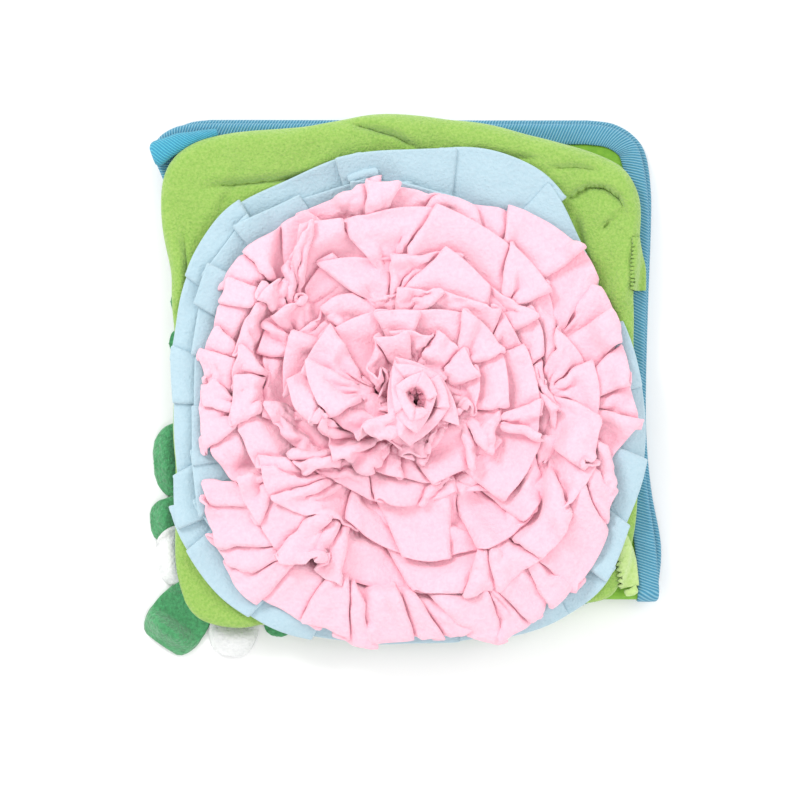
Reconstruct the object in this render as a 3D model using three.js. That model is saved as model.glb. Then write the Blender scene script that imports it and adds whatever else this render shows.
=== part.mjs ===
// Snuffle mat, folded once with its flower side up, lying on its lower half.
// Millimetres, +Z up. X runs across the mat and Y along its folded length, with
// the fold at -Y and the two bound free ends at +Y.
//
// Pieces: a bound felt base folded once, the ribbed tape round its edge, a lime
// ruffle with its edge turned under, a sky-blue ring of knife pleats over it, a
// pink strip of knife pleats sewn on a spiral over that, and leaves and petals
// of fleece pressed out flat under the base.
import * as THREE from 'three';

// ---------------------------------------------------------------- sizes
const RAD = Math.PI / 180;
const ORIGIN_SHIFT = { x: 0.2, y: -0.5 };     // puts the base of the bounding box at the origin

const BASE_T = 3.0;          // felted base panel
const FOLD_R = 4.6;          // mid-line radius of the fold at -Y
const FOLD_Y = -121.0;       // where the fold's half circle starts
const LOWER_Z = BASE_T / 2;  // mid height of the lower layer
const UPPER_Z = LOWER_Z + 2 * FOLD_R;

const TAPE_T = 1.0;          // ribbed binding tape
const TAPE_GAP = 0.4;        // between tape and panel
const TAPE_IN = 11.0;        // how far the tape reaches in over the panel
const TAPE_OUT = 0.3;        // panel edge to the inside of the tape's fold

const EDGE_LIFT = 1.4;       // the panel rises onto its own tape at the edges
const LEAF_LIFT = 4.3;       // the panel rises over the leaves at -X and -Y
const LIFT_FLAT = 17.0;      // the lift is level for this far in from an edge
const LIFT_RAMP = 30.0;      // and runs out over this far

const FLOWER = { x: 6.6, y: -6.0 };   // centre of the three rings

const LIME_T = 2.4, SKY_T = 2.2, PINK_T = 2.0, LEAF_T = 2.4;

// Base panel, a row for each section from the lower free end, round the fold,
// to the upper free end. y: place of the row. left, right: its two ends in X.
const LOWER_ROWS = [
  { y: 163, left: -118, right: 112 },
  { y: 161, left: -131, right: 127 },
  { y: 154, left: -142, right: 139 },
  { y: 143, left: -146, right: 146 },
  { y: 122, left: -140, right: 149 },
  { y: 96, left: -132, right: 149 },
  { y: 40, left: -130, right: 147 },
  { y: -20, left: -130, right: 146 },
  { y: -60, left: -130, right: 149 },
  { y: -95, left: -130, right: 155 },
];
const UPPER_ROWS = [
  { y: -95, left: -130, right: 151 },
  { y: -60, left: -130, right: 146 },
  { y: -20, left: -130, right: 143 },
  { y: 40, left: -131, right: 145 },
  { y: 96, left: -133, right: 147 },
  { y: 122, left: -142, right: 146 },
  { y: 143, left: -150, right: 142 },
  { y: 152, left: -147, right: 136 },
  { y: 158, left: -137, right: 125 },
  { y: 160, left: -124, right: 110 },
];
const FOLD_ENDS = { left: -130, right: 153 };
const FOLD_STEPS = 6;
// where the columns of the base stand, as parts of the row's width
const BASE_COLUMNS = [0, 0.055, 0.1, 0.155, 0.3, 0.5, 0.7, 0.845, 0.9, 0.945, 1];

// Outer outlines round the flower's centre. deg: direction, the rest radii.
const OUTLINE = [
  { deg: 0, pink: 128, sky: 138, lime: 131 }, { deg: 15, pink: 125, sky: 134, lime: 135 },
  { deg: 30, pink: 125, sky: 131, lime: 150 }, { deg: 45, pink: 129, sky: 138, lime: 186 },
  { deg: 60, pink: 124, sky: 153, lime: 177 }, { deg: 75, pink: 124, sky: 154, lime: 167 },
  { deg: 90, pink: 126, sky: 148, lime: 164 }, { deg: 105, pink: 128, sky: 150, lime: 169 },
  { deg: 120, pink: 127, sky: 151, lime: 185 }, { deg: 135, pink: 133, sky: 161, lime: 190 },
  { deg: 150, pink: 130, sky: 159, lime: 159 }, { deg: 165, pink: 124, sky: 148, lime: 146 },
  { deg: 180, pink: 124, sky: 146, lime: 143 }, { deg: 195, pink: 128, sky: 150, lime: 147 },
  { deg: 210, pink: 137, sky: 162, lime: 158 }, { deg: 225, pink: 147, sky: 167, lime: 171 },
  { deg: 240, pink: 151, sky: 163, lime: 146 }, { deg: 255, pink: 147, sky: 152, lime: 129 },
  { deg: 270, pink: 144, sky: 146, lime: 123 }, { deg: 285, pink: 144, sky: 149, lime: 126 },
  { deg: 300, pink: 147, sky: 158, lime: 140 }, { deg: 315, pink: 142, sky: 161, lime: 168 },
  { deg: 330, pink: 133, sky: 149, lime: 152 }, { deg: 345, pink: 123, sky: 143, lime: 136 },
];

// Lime ruffle: how much its turned edge stands up, by direction.
const LIME_INNER_R = 104.0;
const LIME_PUFF = [
  { deg: 0, puff: 5 }, { deg: 45, puff: 9 }, { deg: 90, puff: 8 }, { deg: 130, puff: 8 },
  { deg: 165, puff: 4 }, { deg: 210, puff: 3.5 }, { deg: 270, puff: 3.5 }, { deg: 315, puff: 5 },
];
// Its section from the sewn edge outward, then back under. out: part of the way
// to the rim. up: height of the sheet's middle over the base. puff: share of the puff.
const LIME_SECTION = [
  { out: 0.0, up: 1.6, puff: 0.0 }, { out: 0.3, up: 2.6, puff: 0.08 }, { out: 0.6, up: 3.0, puff: 0.45 },
  { out: 0.88, up: 3.0, puff: 1.0 }, { out: 1.0, up: 2.6, puff: 0.5 }, { out: 0.9, up: 1.5, puff: 0.0 },
  { out: 0.72, up: 1.5, puff: 0.0 },
];
const LIME_COLUMNS = 40;
// Soft folds across the lime ruffle. deg: direction, wide: half width in degrees, deep: drop.
const LIME_FOLDS = [
  { deg: 22, wide: 9, deep: 3 }, { deg: 52, wide: 7, deep: 3 }, { deg: 84, wide: 8, deep: 3 },
  { deg: 112, wide: 8, deep: 2 }, { deg: 142, wide: 7, deep: 2 }, { deg: 312, wide: 7, deep: 2 },
];

// Sky ring: a row for each knife pleat. deg: where its fold edge lies at the
// outer edge, lap: how far it lies over the next length of cloth.
const SKY_INNER_R = 96.0;
const SKY_PLEATS = [
  { deg: 14, lap: 9 }, { deg: 34, lap: 7 }, { deg: 57, lap: 11 }, { deg: 80, lap: 8 }, { deg: 107, lap: 13 },
  { deg: 128, lap: 8 }, { deg: 151, lap: 12 }, { deg: 179, lap: 7 }, { deg: 207, lap: 11 }, { deg: 220, lap: 9 },
  { deg: 236, lap: 10 }, { deg: 256, lap: 8 }, { deg: 284, lap: 9 }, { deg: 305, lap: 11 }, { deg: 322, lap: 10 },
  { deg: 336, lap: 9 }, { deg: 350, lap: 8 },
];
const SKY_RISE = 2.1;              // half the height of a pleat at the outer edge
// Section of the ring. out: part of the way from sewn edge to rim, over: height over the lime.
const SKY_SECTION = [
  { out: 0.0, over: 0.0 }, { out: 0.35, over: 0.4 }, { out: 0.7, over: 0.8 }, { out: 1.0, over: 0.6 },
];

// Pink spiral, a row for each turn counted from its middle. root, free: radii of
// the sewn and the free edge; kneeZ, freeZ: heights at the bend and at the free edge.
const PINK_TURNS = [
  { turn: -0.5, root: 7, free: 17, kneeZ: 51.0, freeZ: 56.0 },
  { turn: 0, root: 12, free: 28, kneeZ: 49.5, freeZ: 55.5 },
  { turn: 1, root: 23, free: 47, kneeZ: 47.0, freeZ: 53.5 },
  { turn: 2, root: 36, free: 67, kneeZ: 44.0, freeZ: 51.0 },
  { turn: 3, root: 50, free: 87, kneeZ: 40.0, freeZ: 48.0 },
  { turn: 4, root: 65, free: 109, kneeZ: 36.0, freeZ: 44.0 },
  { turn: 5, root: 79, free: 132, kneeZ: 34.0, freeZ: 41.0 },
  { turn: 6, root: 87, free: 135, kneeZ: 30.5, freeZ: 36.5 },
];
const PINK_ROOT_Z = 15.6;
const PINK_KNEE = 0.3;             // the bend, as a part of the way out
const PINK_START_DEG = 200;        // direction of turn 0
const PINK_PLEAT = 24.0;           // pleat spacing along the free edge, at most
const PINK_PLEAT_TO_R = 0.6;      // and closer than that near the middle, by the radius
const PINK_LAP = { over: 5.0, back: 2.0 };   // fold edge past, and tuck behind, its place
const PINK_RISE = { root: 1.5, knee: 1.65, free: 1.75 };   // half heights of a pleat
const PINK_SHARE = [0.4, 0.8, 1];  // share of the lap at root, bend and free edge

// Leaves and petals. x, y: middle of the sewn end, deg: heading, long, wide: cut
// size, crown: how high the middle stands, tip: part of the width left at the tip.
const LEAVES = [
  { name: 'leaf_left_a', white: false, x: -112, y: 86, deg: 176, long: 29, wide: 22, crown: 0.0, tip: 0.4 },
  { name: 'leaf_left_b', white: false, x: -112, y: 54, deg: 180, long: 30, wide: 24, crown: 0.0, tip: 0.4 },
  { name: 'leaf_left_c', white: false, x: -112, y: 30, deg: 183, long: 31, wide: 22, crown: 0.0, tip: 0.4 },
  { name: 'leaf_side_a', white: false, x: -114, y: -42, deg: 184, long: 38, wide: 48, crown: 7.0, tip: 0.5 },
  { name: 'leaf_side_b', white: false, x: -116, y: -80, deg: 184, long: 38, wide: 22, crown: 6.0, tip: 0.5 },
  { name: 'petal_side', white: true, x: -113, y: -103, deg: 184, long: 38, wide: 22, crown: 10.0, tip: 0.6 },
  { name: 'leaf_corner', white: false, x: -124, y: -121, deg: 235, long: 41, wide: 32, crown: 13.0, tip: 0.7 },
  { name: 'petal_corner', white: true, x: -98, y: -112, deg: 260, long: 50, wide: 30, crown: 9.0, tip: 0.8 },
  { name: 'leaf_corner_b', white: false, x: -72, y: -110, deg: 262, long: 40, wide: 22, crown: 2.0, tip: 0.5 },
  { name: 'leaf_bottom', white: false, x: 30, y: -112, deg: 270, long: 41, wide: 26, crown: 2.0, tip: 0.4 },
  { name: 'leaf_right', white: false, x: 96, y: -108, deg: 278, long: 24, wide: 22, crown: 1.0, tip: 0.4 },
];
const LEAF_ROWS = 7, LEAF_COLUMNS = 4;

// ---------------------------------------------------------------- helpers
const lerp = (a, b, f) => a + (b - a) * f;
const clamp01 = (f) => Math.min(1, Math.max(0, f));
const smooth = (f) => { f = clamp01(f); return f * f * (3 - 2 * f); };

// value of column `key` of a table at `at` in its column `by`
function lookUp(table, by, key, at) {
  if (at <= table[0][by]) return table[0][key];
  for (let i = 1; i < table.length; i++) {
    if (at <= table[i][by]) {
      return lerp(table[i - 1][key], table[i][key], (at - table[i - 1][by]) / (table[i][by] - table[i - 1][by]));
    }
  }
  return table[table.length - 1][key];
}
// the same on a table that closes on itself at 360 degrees
function roundLookUp(table, key, deg) {
  const d = ((deg % 360) + 360) % 360;
  const closed = [...table, { ...table[0], deg: table[0].deg + 360 }];
  if (d < closed[0].deg) return lookUp(closed, 'deg', key, d + 360);
  return lookUp(closed, 'deg', key, d);
}
const outlineR = (key, deg) => roundLookUp(OUTLINE, key, deg);

// How much the base is lifted at a place: onto its own tape all round, and
// further over the leaves, which lie under its -X and -Y edges.
function liftAt(x, y) {
  const inside = Math.min(x + 131, y + 126, 143 - x, 157 - y);   // distance in from the nearest edge
  const leafy = clamp01(Math.max(20 - x, 20 - y) / 110);
  return lerp(EDGE_LIFT, LEAF_LIFT, leafy) * (1 - smooth((inside - LIFT_FLAT) / LIFT_RAMP));
}
const overBase = (x, y) => UPPER_Z + BASE_T / 2 + TAPE_GAP + TAPE_T + 0.5 + liftAt(x, y);

// Closed solid from a grid of upper points and a grid of lower points.
function solidFromGrids(top, bottom, closed) {
  const m = top.length, n = top[0].length, pos = [], idx = [];
  for (const g of [top, bottom]) for (const line of g) for (const p of line) pos.push(p.x, p.y, p.z);
  const T = (i, j) => (i % m) * n + j, B = (i, j) => m * n + (i % m) * n + j;
  const quad = (a, b, c, d) => idx.push(a, b, c, a, c, d);
  const last = closed ? m : m - 1;
  for (let i = 0; i < last; i++) {
    for (let j = 0; j < n - 1; j++) {
      quad(T(i, j), T(i + 1, j), T(i + 1, j + 1), T(i, j + 1));
      quad(B(i, j), B(i, j + 1), B(i + 1, j + 1), B(i + 1, j));
    }
    quad(T(i, 0), B(i, 0), B(i + 1, 0), T(i + 1, 0));
    quad(T(i, n - 1), T(i + 1, n - 1), B(i + 1, n - 1), B(i, n - 1));
  }
  if (!closed) {
    for (let j = 0; j < n - 1; j++) {
      quad(T(0, j), T(0, j + 1), B(0, j + 1), B(0, j));
      quad(T(m - 1, j), B(m - 1, j), B(m - 1, j + 1), T(m - 1, j + 1));
    }
  }
  return closedGeometry(pos, idx);
}
// geometry whose faces point out, whichever way round its list was made
function closedGeometry(pos, idx) {
  let vol = 0;
  const v = (k) => new THREE.Vector3(pos[3 * k], pos[3 * k + 1], pos[3 * k + 2]);
  for (let k = 0; k < idx.length; k += 3) vol += v(idx[k]).dot(v(idx[k + 1]).cross(v(idx[k + 2])));
  if (vol < 0) for (let k = 0; k < idx.length; k += 3) [idx[k + 1], idx[k + 2]] = [idx[k + 2], idx[k + 1]];
  const geo = new THREE.BufferGeometry();
  geo.setAttribute('position', new THREE.Float32BufferAttribute(pos, 3));
  geo.setIndex(idx);
  geo.computeVertexNormals();
  return geo;
}
// A sheet of even thickness on a grid of middle points.
function sheetSolid(mid, thickness, closed) {
  const m = mid.length, n = mid[0].length;
  const at = (i, j) => mid[closed ? (i + m) % m : Math.min(m - 1, Math.max(0, i))][Math.min(n - 1, Math.max(0, j))];
  const top = [], bottom = [];
  for (let i = 0; i < m; i++) {
    top.push([]); bottom.push([]);
    for (let j = 0; j < n; j++) {
      const normal = at(i + 1, j).clone().sub(at(i - 1, j)).cross(at(i, j + 1).clone().sub(at(i, j - 1))).normalize();
      top[i].push(at(i, j).clone().addScaledVector(normal, thickness / 2));
      bottom[i].push(at(i, j).clone().addScaledVector(normal, -thickness / 2));
    }
  }
  return solidFromGrids(top, bottom, closed);
}
// Half-thickness step at each corner of a folded line: along the corner's
// bisector, on the line's left.
function cornerSteps(line, half, closed) {
  const n = line.length, out = [];
  for (let i = 0; i < n; i++) {
    const a = line[closed ? (i + n - 1) % n : Math.max(0, i - 1)], b = line[i], c = line[closed ? (i + 1) % n : Math.min(n - 1, i + 1)];
    const inDir = Math.atan2(b.w - a.w, b.a - a.a), outDir = Math.atan2(c.w - b.w, c.a - b.a);
    const from = (a === b) ? outDir : inDir, to = (c === b) ? inDir : outDir;
    let turn = to - from;
    while (turn > Math.PI) turn -= 2 * Math.PI;
    while (turn < -Math.PI) turn += 2 * Math.PI;
    const dir = from + Math.PI / 2 + turn / 2;
    out.push({ a: Math.cos(dir) * half, w: Math.sin(dir) * half });
  }
  return out;
}

const root = new THREE.Group();
root.name = 'snuffle_mat';
function add(name, geometry, color, roughness = 0.95) {
  const mesh = new THREE.Mesh(geometry, new THREE.MeshStandardMaterial({ color, roughness, metalness: 0 }));
  mesh.name = name;
  mesh.position.set(ORIGIN_SHIFT.x, ORIGIN_SHIFT.y, 0);
  root.add(mesh);
}

// ---------------------------------------------------------------- base panel
// One section line: lower layer, half circle, upper layer, with the direction
// that faces out of the fold (ny, nz).
const baseLine = [
  ...LOWER_ROWS.map((r) => ({ ...r, z: LOWER_Z, ny: 0, nz: -1 })),
  ...Array.from({ length: FOLD_STEPS + 1 }, (_, k) => {
    const t = (k / FOLD_STEPS) * Math.PI, ny = -Math.sin(t), nz = -Math.cos(t);
    return { y: FOLD_Y + ny * FOLD_R, z: LOWER_Z + FOLD_R + nz * FOLD_R, ny, nz, ...FOLD_ENDS };
  }),
  ...UPPER_ROWS.map((r) => ({ ...r, z: UPPER_Z, ny: 0, nz: 1 })),
];
const lifted = (x, y, z) => new THREE.Vector3(x, y, z + liftAt(x, y));
{
  const side = (s) => baseLine.map((r) => BASE_COLUMNS.map((f) => {
    const x = lerp(r.left, r.right, f);
    return new THREE.Vector3(x, r.y + r.ny * s, r.z + r.nz * s + liftAt(x, r.y));
  }));
  add('base_panel', solidFromGrids(side(BASE_T / 2), side(-BASE_T / 2), false), 0x7fb53a);
}

// ---------------------------------------------------------------- binding tape
// A C-shaped section swept round the whole edge of the base.
{
  const edge = [
    ...baseLine.map((r) => ({ x: r.left, r })),
    ...BASE_COLUMNS.slice(1, -1).map((f) => ({ x: lerp(baseLine.at(-1).left, baseLine.at(-1).right, f), r: baseLine.at(-1) })),
    ...[...baseLine].reverse().map((r) => ({ x: r.right, r })),
    ...BASE_COLUMNS.slice(1, -1).reverse().map((f) => ({ x: lerp(baseLine[0].left, baseLine[0].right, f), r: baseLine[0] })),
  ];
  const near = BASE_T / 2 + TAPE_GAP, far = near + TAPE_T;
  const section = [
    { out: -TAPE_IN, n: near }, { out: TAPE_OUT, n: near }, { out: TAPE_OUT, n: -near }, { out: -TAPE_IN, n: -near },
    { out: -TAPE_IN, n: -far }, { out: TAPE_OUT + TAPE_T, n: -far }, { out: TAPE_OUT + TAPE_T, n: far }, { out: -TAPE_IN, n: far },
  ];
  const count = edge.length, pos = [], idx = [];
  edge.forEach((e, i) => {
    const prev = edge[(i + count - 1) % count], next = edge[(i + 1) % count];
    const along = new THREE.Vector3(next.x - prev.x, next.r.y - prev.r.y, next.r.z - prev.r.z).normalize();
    const normal = new THREE.Vector3(0, e.r.ny, e.r.nz);
    const out = normal.clone().cross(along).normalize();
    for (const s of section) {
      const p = new THREE.Vector3(e.x, e.r.y, e.r.z).addScaledVector(out, s.out).addScaledVector(normal, s.n);
      const q = lifted(p.x, e.r.y + out.y * Math.min(0, s.out), 0).z;
      pos.push(p.x, p.y, p.z + q);
    }
  });
  const k = section.length;
  for (let i = 0; i < count; i++) for (let j = 0; j < k; j++) {
    const a = i * k + j, b = i * k + (j + 1) % k, c = ((i + 1) % count) * k + (j + 1) % k, d = ((i + 1) % count) * k + j;
    idx.push(a, b, c, a, c, d);
  }
  add('binding_tape', closedGeometry(pos, idx), 0x3f9fc9, 0.7);
}

// ---------------------------------------------------------------- lime ruffle
const polar = (r, deg) => ({ x: FLOWER.x + r * Math.cos(deg * RAD), y: FLOWER.y + r * Math.sin(deg * RAD) });
function limeFoldDrop(deg) {
  let drop = 0;
  for (const f of LIME_FOLDS) {
    let d = Math.abs(((deg - f.deg) % 360 + 540) % 360 - 180) / f.wide;
    drop += f.deep * (1 - smooth(d));
  }
  return drop;
}
// height of the middle of the lime sheet's upper layer
function limeZ(r, deg) {
  const rim = outlineR('lime', deg), out = clamp01((r - LIME_INNER_R) / (rim - LIME_INNER_R));
  const upper = LIME_SECTION.slice(0, 5);
  const puff = roundLookUp(LIME_PUFF, 'puff', deg) - limeFoldDrop(deg);
  const p = polar(Math.min(r, rim), deg);
  return overBase(p.x, p.y) + lookUp(upper, 'out', 'up', out) + lookUp(upper, 'out', 'puff', out) * Math.max(2.2, puff);
}
{
  const grid = [];
  for (let i = 0; i < LIME_COLUMNS; i++) {
    const deg = (i / LIME_COLUMNS) * 360, rim = outlineR('lime', deg);
    const puff = Math.max(2.2, roundLookUp(LIME_PUFF, 'puff', deg) - limeFoldDrop(deg));
    grid.push(LIME_SECTION.map((s) => {
      const hem = Math.min(60, 1.5 * (rim - LIME_INNER_R));
      const p = polar(s.out > 0.6 ? rim - (1 - s.out) * hem : lerp(LIME_INNER_R, rim, s.out), deg);
      return new THREE.Vector3(p.x, p.y, overBase(p.x, p.y) + s.up + s.puff * puff);
    }));
  }
  add('lime_ruffle', sheetSolid(grid, LIME_T, true), 0x9bd244);
}

// ---------------------------------------------------------------- pleated strips
// columns: {u, f} list down the strip; place(u, part) gives radius, angle, height
// and the direction (nr, nz) square to the cloth; each column's cloth is carried
// from its sewn end to its free end.
function pleatedSolid(lines, place, parts, thickness, closed) {
  const m = lines[0].length;
  const top = Array.from({ length: m }, () => []), bottom = Array.from({ length: m }, () => []);
  parts.forEach((part, row) => {
    const line = lines[row];
    const steps = cornerSteps(line, thickness / 2, closed);
    for (let i = 0; i < m; i++) {
      for (const [grid, s] of [[top, 1], [bottom, -1]]) {
        const q = place(line[i], part);
        const w = line[i].w + s * steps[i].w, turn = (s * steps[i].a) / Math.max(q.r, 6);
        const r = q.r + q.nr * w, ang = q.ang + turn;
        grid[i].push(new THREE.Vector3(FLOWER.x + r * Math.cos(ang), FLOWER.y + r * Math.sin(ang), q.z + q.nz * w));
      }
    }
  });
  return solidFromGrids(top, bottom, closed);
}

// ---------------------------------------------------------------- sky ring
const SKY_PARTS = SKY_SECTION.map((s) => s.out);
function skyPlace(deg, part) {
  const rim = outlineR('sky', deg), r = lerp(SKY_INNER_R, rim, part);
  const limeRim = outlineR('lime', deg);
  const over = lookUp(SKY_SECTION, 'out', 'over', part);
  const under = r < LIME_INNER_R ? overBase(...Object.values(polar(r, deg))) + 1.2 : limeZ(r, deg) + LIME_T / 2;
  const rise = lerp(0.75, 1, part) * SKY_RISE;
  const past = Math.max(0, r - limeRim - 5);
  const room = SKY_T / 2 + rise + 1.7 + over;
  const climb = smooth((r - SKY_INNER_R) / 14) * 0.8;
  return { r, z: under + room + climb * (part < 1 ? 1 : 0.6) - past * 0.35, rise };
}
{
  const lines = SKY_PARTS.map((part) => {
    const line = [], n = SKY_PLEATS.length;
    SKY_PLEATS.forEach((pleat, i) => {
      const next = SKY_PLEATS[(i + 1) % n], gapDeg = (next.deg - pleat.deg + 360) % 360;
      const rAt = skyPlace(pleat.deg, part).r;
      const share = lerp(0.45, 1, part), lap = (pleat.lap * share) / rAt / RAD;
      const rise = skyPlace(pleat.deg, part).rise;
      // the face comes up level, its fold edge laps over the next face, the tuck
      // goes back under it, and the next face starts level below
      const ease = 2.5 / rAt / RAD, level = pleat.deg;
      line.push({ deg: pleat.deg - lap * 0.3 - ease, levelDeg: level, w: rise });
      line.push({ deg: pleat.deg + lap * 0.7, levelDeg: level, w: rise });
      line.push({ deg: pleat.deg - lap * 0.3, levelDeg: level, w: -rise });
      line.push({ deg: pleat.deg + lap * 0.7 + ease, levelDeg: level, w: -rise });
      const mid = pleat.deg + gapDeg * 0.5 + (pleat.lap * 0.7 - next.lap * 0.3) * share / rAt / RAD / 2;
      line.push({ deg: mid, levelDeg: mid, w: 0 });
    });
    let run = 0;
    line.forEach((c, i) => {
      if (i) run += (c.deg - line[i - 1].deg) * RAD * skyPlace(c.deg, part).r;
      c.a = run;
    });
    return line;
  });
  const place = (c, part) => {
    // both edges of a lap keep the level of the place where it lies
    return { r: skyPlace(c.deg, part).r, z: skyPlace(c.levelDeg, part).z, ang: c.deg * RAD };
  };
  // the line closes on itself, so its first and last corners are worked out on a copy one turn long
  const ringSteps = (line) => {
    const n = line.length, gap = (line[0].deg + 360 - line[n - 1].deg) * RAD * SKY_INNER_R;
    const before = { a: line[0].a - gap, w: line[n - 1].w }, after = { a: line[n - 1].a + gap, w: line[0].w };
    return cornerSteps([before, ...line, after], SKY_T / 2, false).slice(1, -1);
  };
  const m = lines[0].length;
  const top = Array.from({ length: m }, () => []), bottom = Array.from({ length: m }, () => []);
  SKY_PARTS.forEach((part, row) => {
    const line = lines[row], steps = ringSteps(line);
    for (let i = 0; i < m; i++) {
      const q = place(line[i], part);
      for (const [grid, s] of [[top, 1], [bottom, -1]]) {
        const ang = q.ang + (s * steps[i].a) / q.r;
        grid[i].push(new THREE.Vector3(FLOWER.x + q.r * Math.cos(ang), FLOWER.y + q.r * Math.sin(ang), q.z + line[i].w + s * steps[i].w));
      }
    }
  });
  add('sky_ruffle', solidFromGrids(top, bottom, true), 0xbfe0ec);
}

// ---------------------------------------------------------------- pink spiral
const PINK_PARTS = [0, PINK_KNEE, 1];
function pinkPlace(turn, part) {
  const t = (key) => lookUp(PINK_TURNS, 'turn', key, turn);
  const deg = PINK_START_DEG + turn * 360;
  const shape = 1 + (outlineR('pink', deg) / 134 - 1) * clamp01(turn / 5);
  const rootR = t('root'), freeR = t('free') * shape;
  const path = [
    { r: rootR, z: PINK_ROOT_Z }, { r: lerp(rootR, freeR, PINK_KNEE), z: t('kneeZ') }, { r: freeR, z: t('freeZ') },
  ];
  const i = PINK_PARTS.indexOf(part);
  const a = path[Math.max(0, i - 1)], b = path[Math.min(2, i + 1)];
  const len = Math.hypot(b.r - a.r, b.z - a.z);
  return { r: path[i].r, z: path[i].z, ang: deg * RAD, nr: -(b.z - a.z) / len, nz: (b.r - a.r) / len };
}
{
  // walk along the free edge, a pleat at a time
  const pleats = [];
  const spacing = (turn) => Math.min(PINK_PLEAT, PINK_PLEAT_TO_R * pinkPlace(turn, 1).r);
  let turn = PINK_TURNS[0].turn + 0.02;
  while (turn < PINK_TURNS.at(-1).turn - 0.02) {
    pleats.push(turn);
    turn += spacing(turn) / (2 * Math.PI * pinkPlace(turn, 1).r);
  }
  const rises = [PINK_RISE.root, PINK_RISE.knee, PINK_RISE.free];
  const lines = PINK_PARTS.map((part, row) => {
    const line = [];
    for (const t of pleats) {
      const perMm = (spacing(t) / PINK_PLEAT) / (2 * Math.PI * pinkPlace(t, 1).r), share = PINK_SHARE[row];
      line.push({ turn: t + PINK_LAP.over * share * perMm, a: 0, w: rises[row] });
      line.push({ turn: t - PINK_LAP.back * share * perMm, a: 0, w: -rises[row] });
    }
    let run = 0;
    line.forEach((c, i) => {
      if (i) run += (c.turn - line[i - 1].turn) * 2 * Math.PI * pinkPlace(c.turn, part).r;
      c.a = run;
    });
    return line;
  });
  const geo = pleatedSolid(lines, (c, part) => pinkPlace(c.turn, part), PINK_PARTS, PINK_T, false);
  add('pink_ruffle', geo, 0xf7c6d9);
}

// ---------------------------------------------------------------- leaves and petals
for (const leaf of LEAVES) {
  const dir = { x: Math.cos(leaf.deg * RAD), y: Math.sin(leaf.deg * RAD) };
  const top = [], bottom = [];
  for (let i = 0; i <= LEAF_ROWS; i++) {
    const f = i / LEAF_ROWS;
    const half = (leaf.wide / 2) * (f < 0.55 ? lerp(0.62, 1, Math.sin((f / 0.55) * Math.PI / 2))
      : lerp(leaf.tip, 1, Math.sqrt(Math.max(0, 1 - ((f - 0.55) / 0.45) ** 2))));
    // under the base it lies flat, past it the middle stands up
    const stand = smooth((f - 0.57) / 0.2) * (1 - 0.75 * smooth((f - 0.77) / 0.23)) * leaf.crown;
    top.push([]); bottom.push([]);
    for (let j = 0; j <= LEAF_COLUMNS; j++) {
      const c = (j / LEAF_COLUMNS) * 2 - 1;
      const x = leaf.x + dir.x * f * leaf.long - dir.y * c * half, y = leaf.y + dir.y * f * leaf.long + dir.x * c * half;
      const z = stand * (1 - c * c);
      top[i].push(new THREE.Vector3(x, y, z + LEAF_T));
      bottom[i].push(new THREE.Vector3(x, y, z));
    }
  }
  add(leaf.name, solidFromGrids(top, bottom, false), leaf.white ? 0xf2f2ef : 0x3f9a5c);
}

export default root;
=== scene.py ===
import math

import bpy
import numpy as np
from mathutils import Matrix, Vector


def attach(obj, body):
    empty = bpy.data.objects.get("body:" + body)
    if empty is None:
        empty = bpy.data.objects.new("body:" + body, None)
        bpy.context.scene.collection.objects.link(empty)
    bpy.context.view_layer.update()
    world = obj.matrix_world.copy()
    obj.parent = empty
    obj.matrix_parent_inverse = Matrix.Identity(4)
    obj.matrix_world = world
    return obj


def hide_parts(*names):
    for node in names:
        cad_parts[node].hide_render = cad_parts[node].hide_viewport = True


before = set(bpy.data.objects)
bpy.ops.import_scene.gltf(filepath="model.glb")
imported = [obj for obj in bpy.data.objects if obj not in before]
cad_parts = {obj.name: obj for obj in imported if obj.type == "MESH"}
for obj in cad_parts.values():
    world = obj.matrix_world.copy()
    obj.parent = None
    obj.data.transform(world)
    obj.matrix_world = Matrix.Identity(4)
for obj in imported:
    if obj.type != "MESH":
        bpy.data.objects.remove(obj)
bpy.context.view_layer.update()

# ------------------------------------------------------------------ sizes (mm)
SHIFT = np.array([0.2, -0.5, 0.0])
FLOWER = np.array([6.6, -6.0])
BASE_T, FOLD_R, FOLD_Y = 3.0, 4.6, -121.0
LOWER_Z, UPPER_Z = 1.5, 10.7
TAPE_T, TAPE_GAP, TAPE_IN, TAPE_OUT = 1.0, 0.4, 11.0, 0.3
EDGE_LIFT, LEAF_LIFT, LIFT_FLAT, LIFT_RAMP = 1.4, 4.3, 17.0, 30.0
LIME_T, SKY_T, PINK_T, LEAF_T = 2.0, 1.7, 1.55, 2.2
LIME_IN, SKY_IN = 104.0, 96.0
PINK_ROOT_Z = 15.8
SETTLE_FRAMES = 32
PRESS_FROM = 10
STIR, STIR_SIZE = 20.0, 0.25         # how hard and how finely it is stirred
HOLD_RIM, HOLD_FREE, HOLD_MID = 0.45, 0.3, 0.0     # how firmly the settling keeps to the folds as placed
BEND = 16.0                         # stiffness of the fleece
FILM_Z, FILM_DROOP = 56.5, 12.0     # where the pressing stops over the middle, and how much lower 100 mm out
CROWN_Z = 49.0                      # height of the highest sewn row in the end
FULLNESS = 0.30                     # how far the cloth between two folds stands up, by its width
CLOSEST = [13.0, 16.0, 18.0, 18.0, 18.0, 17.0, 9.0]   # least spacing of folds along the free edge, by turn
SPREAD = [1.035, 1.02, 1.02, 1.02, 1.02, 1.02, 1.0]   # the free edges draw in by this much as it settles
UNEVEN_R, UNEVEN_SLANT = 0.07, 9.0  # how uneven the turns' radii and the folds' slants are

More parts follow.
